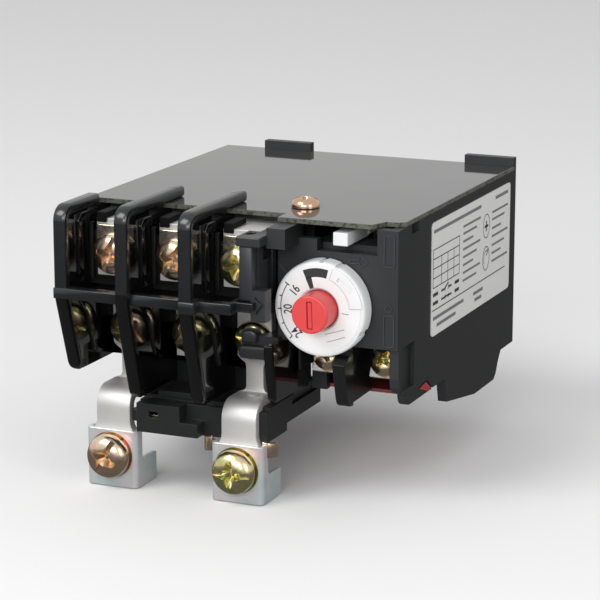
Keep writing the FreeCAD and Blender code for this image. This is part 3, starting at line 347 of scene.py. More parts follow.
def asObject(name, bm, smooth=35):
    # turns a bmesh into an object
    bmesh.ops.recalc_face_normals(bm, faces=bm.faces)
    mesh = bpy.data.meshes.new(name)
    bm.to_mesh(mesh)
    bm.free()
    smoothed(mesh, smooth)
    return placed(name, mesh)


def roundedOutline(points, steps=5):
    # a corner given as (u, v, radius) becomes an arc
    out = []
    for i, point in enumerate(points):
        if len(point) < 3:
            out.append(tuple(point))
            continue
        corner = Vector(point[:2])
        before = (Vector(points[i - 1][:2]) - corner).normalized()
        after = (Vector(points[(i + 1) % len(points)][:2]) - corner).normalized()
        turn = before.angle(after) / 2
        centre = corner + (before + after).normalized() * (point[2] / math.sin(turn))
        start = corner + before * (point[2] / math.tan(turn)) - centre
        end = corner + after * (point[2] / math.tan(turn)) - centre
        first = math.atan2(start.y, start.x)
        sweep = math.atan2(end.y, end.x) - first
        sweep = (sweep + math.pi) % (2 * math.pi) - math.pi
        for k in range(steps + 1):
            angle = first + sweep * k / steps
            out.append((centre.x + point[2] * math.cos(angle), centre.y + point[2] * math.sin(angle)))
    return out


def lift(axis, u, v, w):
    # a point of an outline (u, v) at the height w along an axis
    return Vector({"x": (w, u, v), "y": (u, w, v), "z": (u, v, w)}[axis]) * mm


def prism(name, points, low, high, axis="x", steps=5):
    # outline drawn out along an axis from low to high
    bm = bmesh.new()
    outline = roundedOutline(points, steps)
    base = [bm.verts.new(lift(axis, u, v, low)) for u, v in outline]
    top = [bm.verts.new(lift(axis, u, v, high)) for u, v in outline]
    bm.faces.new(base)
    bm.faces.new(top[::-1])
    for i in range(len(base)):
        k = (i + 1) % len(base)
        bm.faces.new((base[i], base[k], top[k], top[i]))
    return asObject(name, bm)


def block(name, low, high):
    return prism(name, [(low[0], low[1]), (high[0], low[1]), (high[0], high[1]), (low[0], high[1])],
                 low[2], high[2], "z")


def stroke(start, end, wide, low, high, axis="z"):
    # straight printed or raised line between two points of an outline
    a, b = Vector(start), Vector(end)
    side = Vector((a.y - b.y, b.x - a.x)).normalized() * wide / 2
    return prism("stroke", [tuple(q) for q in (a - side, b - side, b + side, a + side)], low, high, axis)


def strokes(spots, *sizes):
    return [stroke(a, b, *sizes) for a, b in zip(spots, spots[1:])]


def oval(centre, across, up, steps=36, first=0, last=None):
    turn = [2 * math.pi * k / steps for k in range(first, (last or steps) + 1)]
    return [(centre[0] + across * math.cos(a), centre[1] + up * math.sin(a)) for a in turn]


def loft(name, rings, smooth=35):
    # skin through rings of points, closed with a flat end at each side
    bm = bmesh.new()
    rows = [[bm.verts.new(Vector(p) * mm) for p in ring] for ring in rings]
    count = len(rows[0])
    for a, b in zip(rows, rows[1:]):
        for i in range(count):
            bm.faces.new((a[i], a[(i + 1) % count], b[(i + 1) % count], b[i]))
    bm.faces.new(rows[0])
    bm.faces.new(rows[-1][::-1])
    return asObject(name, bm, smooth)


def lathe(name, profile, steps=64):
    # (radius, height) pairs turned about z; a zero radius closes the end
    bm = bmesh.new()
    rows = []
    for radius, height in profile:
        count = 1 if radius == 0 else steps
        rows.append([bm.verts.new(Vector((radius * math.cos(2 * math.pi * i / steps),
                                          radius * math.sin(2 * math.pi * i / steps), height)) * mm)
                     for i in range(count)])
    closed = profile[0][0] > 0
    pairs = list(zip(rows, rows[1:])) + ([(rows[-1], rows[0])] if closed else [])
    for a, b in pairs:
        for i in range(steps):
            k = (i + 1) % steps
            ring = [a[i % len(a)], a[k % len(a)], b[k % len(b)], b[i % len(b)]]
            kept = list(dict.fromkeys(ring))
            if len(kept) > 2:
                bm.faces.new(kept)
    return asObject(name, bm)


def finalMesh(item):
    # mesh that a curve or a piece with modifiers gives
    bpy.context.view_layer.update()
    return bpy.data.meshes.new_from_object(item.evaluated_get(bpy.context.evaluated_depsgraph_get()))


def applied(item):
    # replaces a mesh with what its modifiers make of it
    mesh = finalMesh(item)
    item.modifiers.clear()
    old, item.data = item.data, mesh
    mesh.name = item.name
    bpy.data.meshes.remove(old)
    return item


def cutBy(item, tools):
    # cuts the tools from a piece
    before = len(item.data.vertices)
    for tool in tools:
        step = item.modifiers.new("step", "BOOLEAN")
        step.operation = "DIFFERENCE"
        step.object = tool
        step.solver = "EXACT"
    applied(item)
    for tool in tools:
        bpy.data.objects.remove(tool)
    if len(item.data.vertices) < before // 2:
        print("check the cut of", item.name)
    smoothed(item.data)
    return item


def gather(name, items):
    # several closed shells as one piece
    bm = bmesh.new()
    for item in items:
        bm.from_mesh(item.data)
        bpy.data.objects.remove(item)
    return asObject(name, bm)


def moved(item, matrix):
    item.data.transform(matrix)
    return item


def at(*place):
    # matrix that shifts to a place in millimetres
    return Matrix.Translation(Vector(place) * mm)


facingOut = Matrix(((1, 0, 0, 0), (0, 0, -1, 0), (0, 1, 0, 0), (0, 0, 0, 1)))  # turns z to the front


def keep(item, paint, body="body", hides=(), edge=0):
    # finishes a piece: edges, material, what it stands for and what it moves with
    if edge:
        addBevel(item, edge)
    item.data.materials.clear()
    item.data.materials.append(paint)
    if hides:
        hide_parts(*hides)
    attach(item, body)
    return item


def roundedSection(wide, deep, radius, steps=3):
    # rounded rectangle as points (a, b) about its middle
    a, b = wide / 2, deep / 2
    return roundedOutline([(-a, -b, radius), (a, -b, radius), (a, b, radius), (-a, b, radius)], steps)


def ringAt(x, spot, tangent, section):
    # section (a, b) set square to a path in (y, z), with a along x
    return [(x + a, spot[0] - tangent.y * b, spot[1] + tangent.x * b) for a, b in section]


def alongPath(path):
    # tangent of a polyline (u, v) at each of its points
    out = []
    for i in range(len(path)):
        a = Vector(path[max(i - 1, 0)])
        b = Vector(path[min(i + 1, len(path) - 1)])
        out.append((b - a).normalized())
    return out


def bentSheet(name, x, points, thick, widthAt, corner, step=0.8):
    # sheet metal strip that follows a path in (y, z); the path is its middle
    bends = roundedOutline(points, 8)
    path = []
    for a, b in zip(bends, bends[1:]):
        count = max(1, round((Vector(b) - Vector(a)).length / step))
        path += [tuple(Vector(a).lerp(Vector(b), k / count)) for k in range(count)]
    path.append(points[-1])
    rings = []
    run = 0.0
    for i, (spot, tangent) in enumerate(zip(path, alongPath(path))):
        if i:
            run += (Vector(spot) - Vector(path[i - 1])).length
        rings.append(ringAt(x, spot, tangent, roundedSection(widthAt(run), thick, corner, 2)))
    return loft(name, rings)


def ease(t):
    # smooth change from 0 to 1
    t = min(max(t, 0), 1)
    return t * t * (3 - 2 * t)


def steady(*stops):
    # width along a strip: (run, width) stops with smooth changes between them
    def width(run):
        for (a, wa), (b, wb) in zip(stops, stops[1:]):
            if run <= b:
                return wa + (wb - wa) * ease((run - a) / (b - a))
        return stops[-1][1]
    return width


# lines that several pieces share, in millimetres; the face is the dial panel's front
face = min(v.co.y for v in nodes["case"].data.vertices if v.co.x > edges("dial")[3] * mm) / mm
caseTop, plateTop = edges("cover_plate")[2], edges("cover_plate")[5]
poles = [(edges("upper_screw_%d" % i)[0] + edges("upper_screw_%d" % i)[3]) / 2 for i in (1, 2, 3)]
pitch = poles[1] - poles[0]
barriers = [poles[0] + pitch * (i - 0.5) for i in range(4)]
panelLeft = barriers[3] - 1.0
upperMoulding, lowerMoulding = ["upper_barriers"], ["lower_barriers"]


def ahead(reach):
    return face - reach


def behind(depth):
    return face + depth


rims = {"wide": 3.2, "band": 2.6, "round": 0.75, "dome": 1.5, "firstDome": 0.9, "seam": 4.5, "fade": 8,
        "web": 1.4, "rear": 7.9, "step": 3.6, "firstStep": 1.0, "tail": 1.2, "split": 6.0, "kink": 3.5,
        "pad": 0.5, "padEdge": 0.16, "padFoot": -12.7, "padRear": 5,
        # outline of the fields on the upper webs: rear, front, slope, and two distances below the case's top
        "upperPad": (3, 8.7, 7.3, 1.8, 0.4),
        "lowerPad": [(10.7, 3.5), (5.5, -1.6, 1.5), (2.1, -11.4, 1.0), (0.9, -12.7, 0.6)],
        # band, top and kink of the short barrier under the dial
        "short": (1.9, -5.0, -6.5),
        # reach, top, end over the plate and corner
        "upper": [(16.2, 25.0, -1.5, 3.8), (17.3, 25.9, -14.0, 3.8), (17.8, 25.9, -14.0, 3.8)],
        # reach, reach at the foot, foot, width and corner
        "lower": [(16.2, 10.2, -15.0, 3.0, 3.2), (17.3, 10.8, -19.9, 3.2, 3.2),
                  (17.8, 11.0, -20.0, 3.2, 3.2), (8.3, 6.0, -18.8, 2.2, 2.2)]}


def rimBar(name, x, points, wide, band, tip=None, seam=None, fade=None):
    # rounded bar along the edge of a barrier; its end may be domed and scored, or fade into the web
    path = roundedOutline(points, 8)
    last, before = Vector(path[-1]), Vector(path[-2])
    back = (last - before).normalized()
    stations = [(spot, 1.0) for spot in path[:-1]]
    if seam:
        at = last - back * seam
        stations += [(tuple(at - back * 0.12), 1.0), (tuple(at), 0.93), (tuple(at + back * 0.12), 1.0)]
    if tip:
        for k in range(6):
            t = k / 6
            stations.append((tuple(last - back * tip * (1 - t)), math.sqrt(1 - 0.94 * t * t)))
    stations.append((tuple(last), 0.22 if tip else 1.0))
    spots = [spot for spot, scale in stations]
    rings = []
    for i, ((spot, scale), tangent) in enumerate(zip(stations, alongPath(spots))):
        thin = scale
        if fade:
            thin *= 1 - (1 - rims["web"] / wide - 0.02) * ease((i - len(spots) + fade) / (fade - 1))
        section = [(a * thin, b * scale) for a, b in roundedSection(wide, band, rims["round"])]
        rings.append(ringAt(x, spot, tangent, section))
    return loft(name, rings, 28)


def upperBarrier(i):
    reach, top, end, turn = rims["upper"][i]
    x, h, split = barriers[i], rims["band"] / 2, rims["split"]
    front = [(ahead(reach - h), split), (ahead(reach - h), top - h, turn - h)]
    rim = rimBar("upperRim%d" % (i + 1), x, front + [(ahead(end), top - h)], rims["wide"], rims["band"],
                 rims["dome"] if i else rims["firstDome"], rims["seam"] if i else None)
    keep(rim, finishAndPaintedLight["rim"], hides=upperMoulding)
    # the web lies under its rim, and all but the first pass over the cover plate's edge
    rear, tail, step = behind(rims["rear"]), ahead(end) - rims["tail"], behind(rims["step"])
    over = [(tail, top - h), (tail, plateTop), (step, plateTop), (step, caseTop)]
    first = [(behind(rims["firstStep"]), top - h), (behind(rims["firstStep"]), caseTop)]
    half = rims["web"] / 2
    outline = [(rear, split)] + front + (over if i else first) + [(rear, caseTop)]
    web = prism("web", outline, x - half, x + half)
    thick = half + rims["pad"]
    back, nose, slope, low, high = rims["upperPad"]
    pad = prism("pad", [(ahead(back), split), (ahead(nose), split), (ahead(nose), caseTop - low, 1.0),
                        (ahead(slope), caseTop - high, 1.0), (ahead(back), caseTop - high)],
                x - (thick if i else 0), x + thick)
    pieces = [web, softened(pad, rims["padEdge"])]
    keep(gather("upperWeb%d" % (i + 1), pieces), finishAndPaintedLight["web"], hides=upperMoulding)


for i in range(3):
    upperBarrier(i)


backing = {"seat": 3, "wall": 0.8, "rear": 8, "deck": 2, "strip": 1.2, "rib": 1.1, "ribStand": 0.9,
           "hookLeft": 4.2, "hookRight": 1.8, "hookFront": 4.8, "hookLip": 4.3, "hookFoot": 19.5,
           "hookRear": 2.5, "hookStep": 1.3, "hookGap": 0.3}


def upperBack():
    # back wall and deck behind the upper screws, the ribs beside them and the hooks over the strips
    b = backing
    seat, deck, split = ahead(b["seat"]), edges("upper_strip_1")[5] - b["strip"], rims["split"]
    parts = [block("wall", (barriers[0], seat, split), (panelLeft, ahead(b["wall"]), deck)),
             block("deck", (barriers[0], seat, deck - b["deck"]), (panelLeft, behind(b["rear"]), deck))]
    skin = rims["web"] / 2 + rims["pad"]
    front, lip, rear = ahead(b["hookFront"]), ahead(b["hookLip"]), behind(b["hookRear"])
    for i, x in enumerate(poles):
        sides = [barriers[i] + skin, barriers[i + 1] - skin - b["rib"]]
        for side in sides if i < 2 else sides[:1]:
            far, out = side + b["rib"], seat - b["ribStand"]
            parts.append(prism("rib", [(side, seat + 0.4), (side, out), (far, out, 0.5), (far, seat + 0.4)],
                               split, deck, "z"))
        low, high = deck + b["hookStep"], caseTop - b["hookGap"]
        hook = prism("hook", [(front, b["hookFoot"]), (lip, b["hookFoot"]), (lip, low), (rear, low),
                              (rear, high), (front, high)], x - b["hookLeft"], x - b["hookRight"])
        # the hooks take the darker, duller moulding copy as painted shade under the plate
        keep(softened(hook, 0.18), finishAndPaintedLight["dark"], hides=upperMoulding)
    keep(gather("upperBackWall", parts), paints["moulding"], hides=upperMoulding, edge=0.12)


upperBack()

# places are counted right from the third pole and forward from the panel
post = {"left": 2.6, "right": 5.8, "front": 11.5, "rear": 8.6, "tie": 1.3, "tieRear": 0.8,
        "window": (5.4, 1.6, 14.2, 17.2), "low": 18.4, "top": 20.6, "capLeft": 0.6, "capRight": 2.0,
        "capFront": 12, "capRear": 4.6, "capArm": 0.9, "hole": (1.0, 7.3), "holeSize": (1.05, 1.6)}


def postPiece():
    left, right = poles[2] + post["left"], poles[2] + post["right"]
    low, top, split = post["low"], post["top"], rims["split"]
    shaft = block("shaft", (left, ahead(post["front"]), split), (right, ahead(post["rear"]), low))
    tie = block("tie", (right - post["tie"], ahead(post["rear"]), split),
                (right, ahead(post["tieRear"]), low))
    front, rear, foot, head = post["window"]
    cutBy(tie, [block("window", (right - 3, ahead(front), foot), (right + 1, ahead(rear), head))])
    keep(gather("poleShield", [softened(shaft, 0.3), tie]), finishAndPaintedLight["shield"], hides=upperMoulding)
    start, end, arm = left - post["capLeft"], right + post["capRight"], right - post["capArm"]
    front, rear = ahead(post["capFront"]), ahead(post["capRear"])
    cap = prism("cap", [(start, front, 0.4), (end, front, 0.4), (end, behind(0)), (arm, behind(0)),
                        (arm, rear), (start, rear)], low, top, "z")
    x, y = left + post["hole"][0], ahead(post["hole"][1])
    wide, deep = post["holeSize"]
    cutBy(cap, [prism("hole", oval((x, y), wide, deep, 28)[:-1], low + 0.5, top + 1, "z")])
    keep(cap, finishAndPaintedLight["cap"], hides=upperMoulding, edge=0.22)


postPiece()
print("upper barriers ready")


def lowerBarrier(i):
    reach, footReach, foot, wide, turn = rims["lower"][i]
    x, full = barriers[i], i < 3
    band, high, kink = (rims["band"], rims["split"], rims["kink"]) if full else rims["short"]
    h = band / 2
    # the slanting edge is set in by half the band, square to itself
    lean = Vector((reach - footReach, kink - foot)).normalized()
    slope = (reach - footReach) / (kink - foot)
    cornerZ = foot + h
    cornerY = ahead(footReach - h / lean.y + (cornerZ - foot) * slope)
    rim = rimBar("lowerRim%d" % (i + 1), x,
                 [(ahead(reach - h), high), (ahead(reach - h), kink - h * 0.1, 2.0),
                  (cornerY, cornerZ, turn - h), (cornerY + turn + 0.4, cornerZ)],
                 wide, band, fade=rims["fade"])
    keep(rim, finishAndPaintedLight["slant"], hides=lowerMoulding)
    rear, half = behind(rims["rear"]), rims["web"] / 2
    parts = [prism("web", [(rear, high), (ahead(reach - h), high), (ahead(reach - h), kink),
                           (cornerY, foot + 0.1, turn), (rear, foot + 0.1)], x - half, x + half)]
    if full:
        thick, back = half + rims["pad"], behind(rims["padRear"])
        edge = [(ahead(spot[0]), *spot[1:]) for spot in rims["lowerPad"]]
        pad = prism("pad", [(back, rims["kink"])] + edge + [(back, rims["padFoot"])],
                    x - (thick if i else 0), x + thick)
        parts.append(softened(pad, rims["padEdge"]))
    keep(gather("lowerWeb%d" % (i + 1), parts), finishAndPaintedLight["web"], hides=lowerMoulding)


for i in range(4):
    lowerBarrier(i)

bars = {"low": 3.5, "top": 6.0, "thick": 2.6, "reach": 16.0, "firstReach": 16.5, "gap": 1.5, "end": 2.5,
        "stubReach": 18.4, "stub": (1.3, 2.7), "shelf": 2.4, "shelfEnd": 1.2, "rear": 8, "back": 5,
        "foot": -14, "endHigh": -5, "cheek": (3.6, 0.6, 11, -20.6), "endCheek": (7, 17.2, 0.9, -20)}


def crossBars():
    # bars between the barriers, the shelf behind them and the square stub before the third barrier
    low, top, inner = bars["low"], bars["top"], ahead(bars["reach"] - bars["thick"])
    a, b, c = barriers[:3]
    gap, end, rear = bars["gap"], panelLeft - 0.3, behind(bars["rear"])
    parts = []
    for left, right, reach in ((a - 1.6, b - gap, bars["firstReach"]), (b + gap, c - gap, bars["reach"]),
                               (c + gap, poles[2] + bars["end"], bars["reach"])):
        parts.append(softened(block("bar", (left, ahead(reach), low), (right, inner, top)), 0.22))
    left, right = bars["stub"]
    stub = block("stub", (c - left, ahead(bars["stubReach"]), low - 0.2), (c + right, inner, top + 0.1))
    parts.append(softened(stub, 0.3))
    keep(gather("crossBars", parts), finishAndPaintedLight["rim"], hides=lowerMoulding)
    shelf, tie = ahead(bars["shelf"]), poles[2] + bars["shelfEnd"]
    parts = [block("shelf", (a, shelf, low + 0.8), (end, rear, top)),
             block("shelfEnd", (tie, inner, low + 0.8), (end, shelf, top))]
    keep(gather("crossShelf", parts), paints["moulding"], hides=lowerMoulding, edge=0.15)
    # the wall behind the lower screws, with two cheeks that close it at its sides
    back, foot, high = behind(bars["back"]), bars["foot"], bars["endHigh"]
    before, after, depth, low = bars["cheek"]
    parts = [block("back", (a, back, foot), (panelLeft, rear, bars["low"] + 1)),
             block("rearEnd", (a, back, foot), (barriers[3] + 0.7, rear, high)),
             block("cheek", (b - before, rear, low), (b + after, behind(depth), foot))]
    start, depth, thick, low = bars["endCheek"]
    parts.append(block("endCheek", (panelLeft, behind(start), low), (panelLeft + thick, behind(depth), high)))
    keep(gather("lowerBackWall", parts), paints["moulding"], hides=lowerMoulding)


crossBars()


# the block's left side stands right of the third pole by "left", and its neck by "neck"
pointer = {"left": 1.9, "neck": 5.8, "wide": 3.1, "front": 11.4, "rear": 8, "below": 2.1, "above": 2.6,
           "groove": 0.6, "ledge": (12, 9), "stem": (9, 7),
           "mark": [(0, 1.75), (2.4, 0), (0.3, -2.5), (0.3, -1.7), (1.6, -0.02), (0, 1.1)]}


def pointerBlock():
    # block with the index arrow beside the dial, its neck and the ledge under the shield
    left, right = poles[2] + pointer["left"], poles[2] + pointer["neck"]
    low, top = bars["low"] - pointer["below"], bars["top"] + pointer["above"]
    front, rear = pointer["front"], pointer["rear"]
    head = block("pointer", (right - 0.4, ahead(front), low), (right + pointer["wide"], ahead(rear), top))
    u, v = right + 0.65, (low + top) / 2 + 0.5
    mark = prism("mark", [(u + a, v + b) for a, b in pointer["mark"]], ahead(front + pointer["groove"]),
                 ahead(front - pointer["groove"]), "y")
    cutBy(head, [mark])
    low, top = bars["low"], bars["top"]
    (far, near), (out, back) = pointer["ledge"], pointer["stem"]
    parts = [head, block("neck", (right - 0.5, ahead(rear), low), (panelLeft - 0.3, ahead(0.4), top)),
             block("stem", (right - 0.5, ahead(out), low), (right + 0.9, ahead(back), top)),
             block("ledge", (left, ahead(far), low), (right - 0.3, ahead(near), top))]
    keep(gather("pointerBlock", parts), finishAndPaintedLight["shield"], hides=lowerMoulding, edge=0.2)


pointerBlock()


# each nose: left end, right end, foot, head, corners and reach
noses = {"upper": (2.5, 1.3, -5.6, -2.8, 0.6, 1.2, 3.8), "lower": (3.0, 0.2, -9.3, -6.2, 1.2, 1.0, 4.3),
         "stem": (-8.4, -4.2, 2.2, 5.2), "rear": 0.4, "round": 0.55}


def hooks():
    # two rounded noses beside the third terminal, with a shadow gap between them
    start, last = poles[2] + pointer["left"], barriers[3]
    left, right, foot, head, small, large, reach = noses["upper"]
    upper = prism("upperNose", [(start - left, foot, small), (start + right, foot),
                                (start + right, head, large), (start - left, head, large)],
                  ahead(reach), ahead(noses["rear"]), "y")
    left, right, foot, head, large, small, reach = noses["lower"]
    lower = prism("lowerNose", [(start - left, foot, large), (last - right, foot), (last - right, head),
                                (start - left, head - 0.1, small)], ahead(reach), ahead(noses["rear"]), "y")
    left = noses["upper"][0]
    foot, head, reach, depth = noses["stem"]
    stem = prism("noseStem", [(start - left, foot), (last, foot), (last, head), (start - left, head)],
                 ahead(reach), behind(depth), "y")
    parts = [softened(upper, noses["round"], 3), softened(lower, noses["round"], 3), stem]
    keep(gather("terminalNoses", parts), finishAndPaintedLight["cap"], hides=lowerMoulding)


hooks()
print("lower barriers ready")


def seatOf(screw, washer, tilt=None):
    # matrix whose z runs out along a screw's axis, with its origin on the washer's face
    if tilt is None:
        out, up = Vector((0, 0, 1)), Vector((0, 1, 0))
    else:
        a = math.radians(tilt)
        out, up = Vector((0, -math.cos(a), math.sin(a))), Vector((0, math.sin(a), math.cos(a)))
    side = up.cross(out)

    def span(node, way):
        along = [v.co.dot(way) for v in nodes[node].data.vertices]
        return min(along), max(along)

    middle = side * (sum(span(screw, side)) / 2) + up * (sum(span(screw, up)) / 2)
    origin = middle + out * span(washer, out)[1]
    spin = Matrix((side, up, out)).transposed().to_4x4()
    return Matrix.Translation(origin) @ spin


# shares of a screw head's radius and height
recess = {"rim": 0.16, "dome": 0.62, "arm": 0.60, "wide": 0.125, "root": 0.30, "slot": 0.12, "slotFoot": 0.60,
          "edge": 0.022, "levels": ((0.84, 1.0), (0.55, 0.66), (0.20, 0.30))}


def panScrew(name, node, washer, tilt, sizes, paint, turn=0, slotted=True):
    # domed head with a cross recess and, on most, a slot right across
    head, high, shank, length = sizes
    rim = high * recess["rim"]
    profile = [(0, -length), (shank, -length), (shank, 0), (head * 0.95, 0), (head, rim * 0.5), (head, rim)]
    for k in range(1, 13):
        a = math.pi / 2 * k / 12
        profile.append((head * math.cos(a) ** recess["dome"] if k < 12 else 0,
                        rim + (high - rim) * math.sin(a) ** 1.05))
    body = lathe(name, profile, 56)
    arm, wide, root = head * recess["arm"], head * recess["wide"], head * recess["root"]
    star = []
    for k in range(4):
        a = math.pi / 2 * k
        for r, w in ((arm * 0.93, -wide), (arm, -wide * 0.5), (arm, wide * 0.5), (arm * 0.93, wide)):
            star.append((r * math.cos(a) - w * math.sin(a), r * math.sin(a) + w * math.cos(a)))
        b = a + math.pi / 4
        star.append((root * math.cos(b), root * math.sin(b)))
    levels = [(high + 0.5, 1.10)] + [(high * share, scale) for share, scale in recess["levels"]]
    tools = [loft("recess", [[(u * scale, v * scale, height) for u, v in star] for height, scale in levels])]
    if slotted:
        half = head * recess["slot"]
        tools.append(block("slot", (-head - 1, -half, high * recess["slotFoot"]), (head + 1, half, high + 1)))
    cutBy(body, tools)
    moved(body, seatOf(node, washer, tilt) @ Matrix.Rotation(math.radians(turn), 4, "Z"))
    if node.startswith("upper"):
        moved(body, at(0, 0, -screws["drop"]))
    return keep(body, paint, hides=[node], edge=head * recess["edge"])


# radius and height of the head, radius and length of the shank
screws = {"upper": (4.75, 3.1, 2.0, 4.2), "lower": (4.7, 3.0, 2.0, 5.0), "clamp": (5.2, 3.5, 2.5, 9.5),
          "control": (3.6, 2.5, 1.75, 5.4), "cover": (3.3, 2.4, 1.75, 8.0), "drop": 0.45, "washerTop": 19.1}
# what the heads press on, their tilt, and the number, turn and finish of each
heads = {"upper": ("upper_washer", 0, ((1, 72, "blush"), (2, 58, "blush"), (3, 2, "gold"))),
         "lower": ("lower_washer", 0, ((1, 15, "gold"), (2, 40, "blush"), (3, -20, "gold"))),
         "clamp": ("spring_washer", 0, ((1, 62, "blush"), (3, 0, "gold"))),
         "control": ("control_washer", 26, ((1, 30, "blush"), (2, -35, "gold")))}


def terminalWasher(i):
    # square washer of an upper terminal, a little higher than it is wide
    left, front, foot, right, rear, _ = edges("upper_washer_%d" % i)
    top = screws["washerTop"]
    plate = prism("upperWasher%d" % i, [(left, foot, 0.5), (right, foot, 0.5), (right, top, 0.5),
                                        (left, top, 0.5)], front, rear, "y")
    keep(plate, finishAndPaintedLight["pale"], hides=["upper_washer_%d" % i], edge=0.18)


for i in (1, 2, 3):
    terminalWasher(i)
for kind, (seat, tilt, turns) in heads.items():
    for i, turn, tint in turns:
        # the third upper head has no slot
        panScrew("%sScrew%d" % (kind, i), "%s_screw_%d" % (kind, i), "%s_%d" % (seat, i), tilt,
                 screws[kind], finishAndPaintedLight[tint], turn, (kind, i) != ("upper", 3))
panScrew("coverScrew", "cover_screw", "cover_plate", None, screws["cover"], finishAndPaintedLight["copper"], 20)
print("screws ready")


coil = {"bore": 2.6, "radius": 4.5, "high": 0.82, "disc": 5.5, "discHigh": 0.28, "first": 60, "sweep": 352,
        "lead": 0.10}


def splitWasher(i):
    # one turn of square wire with a slanting split, and the flat washer behind its edge
    low = edges("spring_washer_%d" % i)
    x, z = (low[0] + low[3]) / 2, (low[2] + low[5]) / 2
    bore, radius, high = coil["bore"], coil["radius"], coil["high"]
    foot, disc = coil["discHigh"], coil["disc"]
    section = ((bore, 0.02), (radius - 0.05, 0.02), (radius, 0.12), (radius, high - 0.1),
               (radius - 0.1, high), (bore, high))
    rings = []
    for k in range(49):
        a = math.radians(coil["first"] + coil["sweep"] * k / 48)
        lead = coil["lead"] * (k / 48 - 0.5)
        rings.append([(r * math.cos(a), r * math.sin(a), w + lead) for r, w in section])
    plate = lathe("disc", [(bore, -foot), (disc - 0.15, -foot), (disc, -foot / 2), (disc, 0.0), (bore, 0.0)])
    whole = gather("springWasher%d" % i, [loft("coil", rings), plate])
    moved(whole, at(x, low[4] - foot, z) @ facingOut)
    keep(whole, finishAndPaintedLight["blush" if i == 1 else "gold"], hides=["spring_washer_%d" % i])


splitWasher(1)
splitWasher(3)

tab = {"thick": 2.4, "shelf": 22.8, "width": 8.6, "neck": 4.4, "flare": 10.7, "bend": 3.2, "inner": 0.6,
       "corner": 0.16, "ring": (0.1, 1.4)}


def connectingTab(i, x):
    # one bent strip: down from the terminal, out over the block, down to the clamp
    low = edges("tab_%d" % i)
    t = tab["thick"]
    rear, front = low[4] - t / 2, low[1] + t / 2
    top, shelf, bottom = low[5], low[2] + tab["shelf"] - t / 2, low[2]
    down, across = top - shelf, rear - front
    wide, neck, flare, bend = tab["width"], tab["neck"], tab["flare"], down + across
    widths = steady((0, wide), (10.4, wide), (12.4, neck), (down - 2.6, neck), (down + 0.4, wide),
                    (bend + 4.6, wide), (bend + 7.6, flare), (90, flare))
    path = [(rear, top), (rear, shelf, tab["inner"] + t / 2), (front, shelf, tab["bend"]), (front, bottom)]
    strip = bentSheet("tabStrip%d" % i, x, path, t, widths, tab["corner"])
    keep(strip, paints["silvered"], hides=["tab_%d" % i])


connectingTab(1, poles[0])
connectingTab(3, poles[2])


def tabEmboss():
    # pressed ring on the level stretch of the third tab
    x, depth = tab["ring"]
    ring = lathe("tabEmboss", [(1.05, 0), (1.15, 0.16), (1.35, 0.2), (1.55, 0.14), (1.65, 0)], 40)
    moved(ring, at(poles[2] + x, behind(depth), edges("tab_3")[2] + tab["shelf"]))
    keep(ring, paints["silvered"])


tabEmboss()

clamp = {"wall": 1.2, "ear": 1.1, "bend": 1.3, "lip": 3.2, "ledge": 6.6, "bore": 2.6, "foot": 1.5}


def clampPlate(i, x):
    # channel with a wide ear at each side of its lower half and a narrow lip above it
    left, front, low, right, rear, top = edges("clamp_plate_%d" % i)
    wall, ear = clamp["wall"], clamp["ear"]
    bend, inside = clamp["bend"], front + wall
    body = prism("clampPlate%d" % i, [(left, rear), (left, front, bend), (right, front, bend), (right, rear),
                                      (right - ear, rear), (right - ear, inside, 0.2),
                                      (left + ear, inside, 0.2), (left + ear, rear)], low, top, "z", 8)
    step, lip, foot = low + clamp["ledge"], front + clamp["lip"], clamp["foot"]
    notch = prism("notch", [(lip, top + 1), (lip, step, 1.3), (rear + 1, step - 0.2), (rear + 1, top + 1)],
                  left - 1, right + 1)
    bore = lathe("bore", [(0, -5), (clamp["bore"], -5), (clamp["bore"], 5), (0, 5)], 32)
    moved(bore, at(x, front, edges("clamp_screw_%d" % i)[2] + 5.0) @ Matrix.Rotation(math.pi / 2, 4, "X"))
    slope = prism("foot", [(rear - foot, low - 1), (rear + 1, low - 1), (rear + 1, low + 1.2)],
                  left - 1, right + 1)
    cutBy(body, [notch, bore, slope])
    keep(body, paints["clear_zinc"], hides=["clamp_plate_%d" % i], edge=0.16)


clampPlate(1, poles[0])
clampPlate(3, poles[2])


# ears: side, distance and radius of the curl
nut = {"back": 0.8, "ears": ((-1, 7.4, 2.3), (1, 5.6, 1.7)), "deep": 2.2, "section": (0.9, 3.6), "first": -95,
       "sweep": 130, "stand": 0.6, "rise": 0.7, "fall": 0.06, "arm": (4, 0.4), "armDeep": (2.0, 1.1),
       "armHigh": (1.0, 1.6)}


def nutPlate(i, x):
    # nut plate behind the tab; the third one has an ear that curls forward at each upper corner
    left, front, low, right, rear, top = edges("nut_plate_%d" % i)
    plate = block("nut", (left, edges("tab_%d" % i)[1] + tab["thick"], low), (right, rear + nut["back"], top))
    parts = [softened(plate, 0.3)]
    for sign, out, curl in nut["ears"] if i == 3 else ():
        rings = []
        for k in range(15):
            angle = math.radians(nut["first"] + nut["sweep"] * k / 14)
            u = x + sign * (out + curl * math.cos(angle))
            v = rear + nut["stand"] + nut["deep"] * math.sin(angle)
            across, along, high = sign * math.cos(angle), math.sin(angle), top + nut["rise"] - nut["fall"] * k
            rings.append([(u + across * b, v + along * b, high + c)
                          for b, c in roundedSection(*nut["section"], 0.25, 2)])
        (start, past), (far, near), (under, over) = nut["arm"], nut["armDeep"], nut["armHigh"]
        ends = sorted((x + sign * start, x + sign * (out + past)))
        parts += [loft("ear", rings),
                  block("arm", (ends[0], rear - far, top - under), (ends[1], rear - near, top + over))]
    keep(gather("nutPlate%d" % i, parts), finishAndPaintedLight["blush"], hides=["nut_plate_%d" % i])


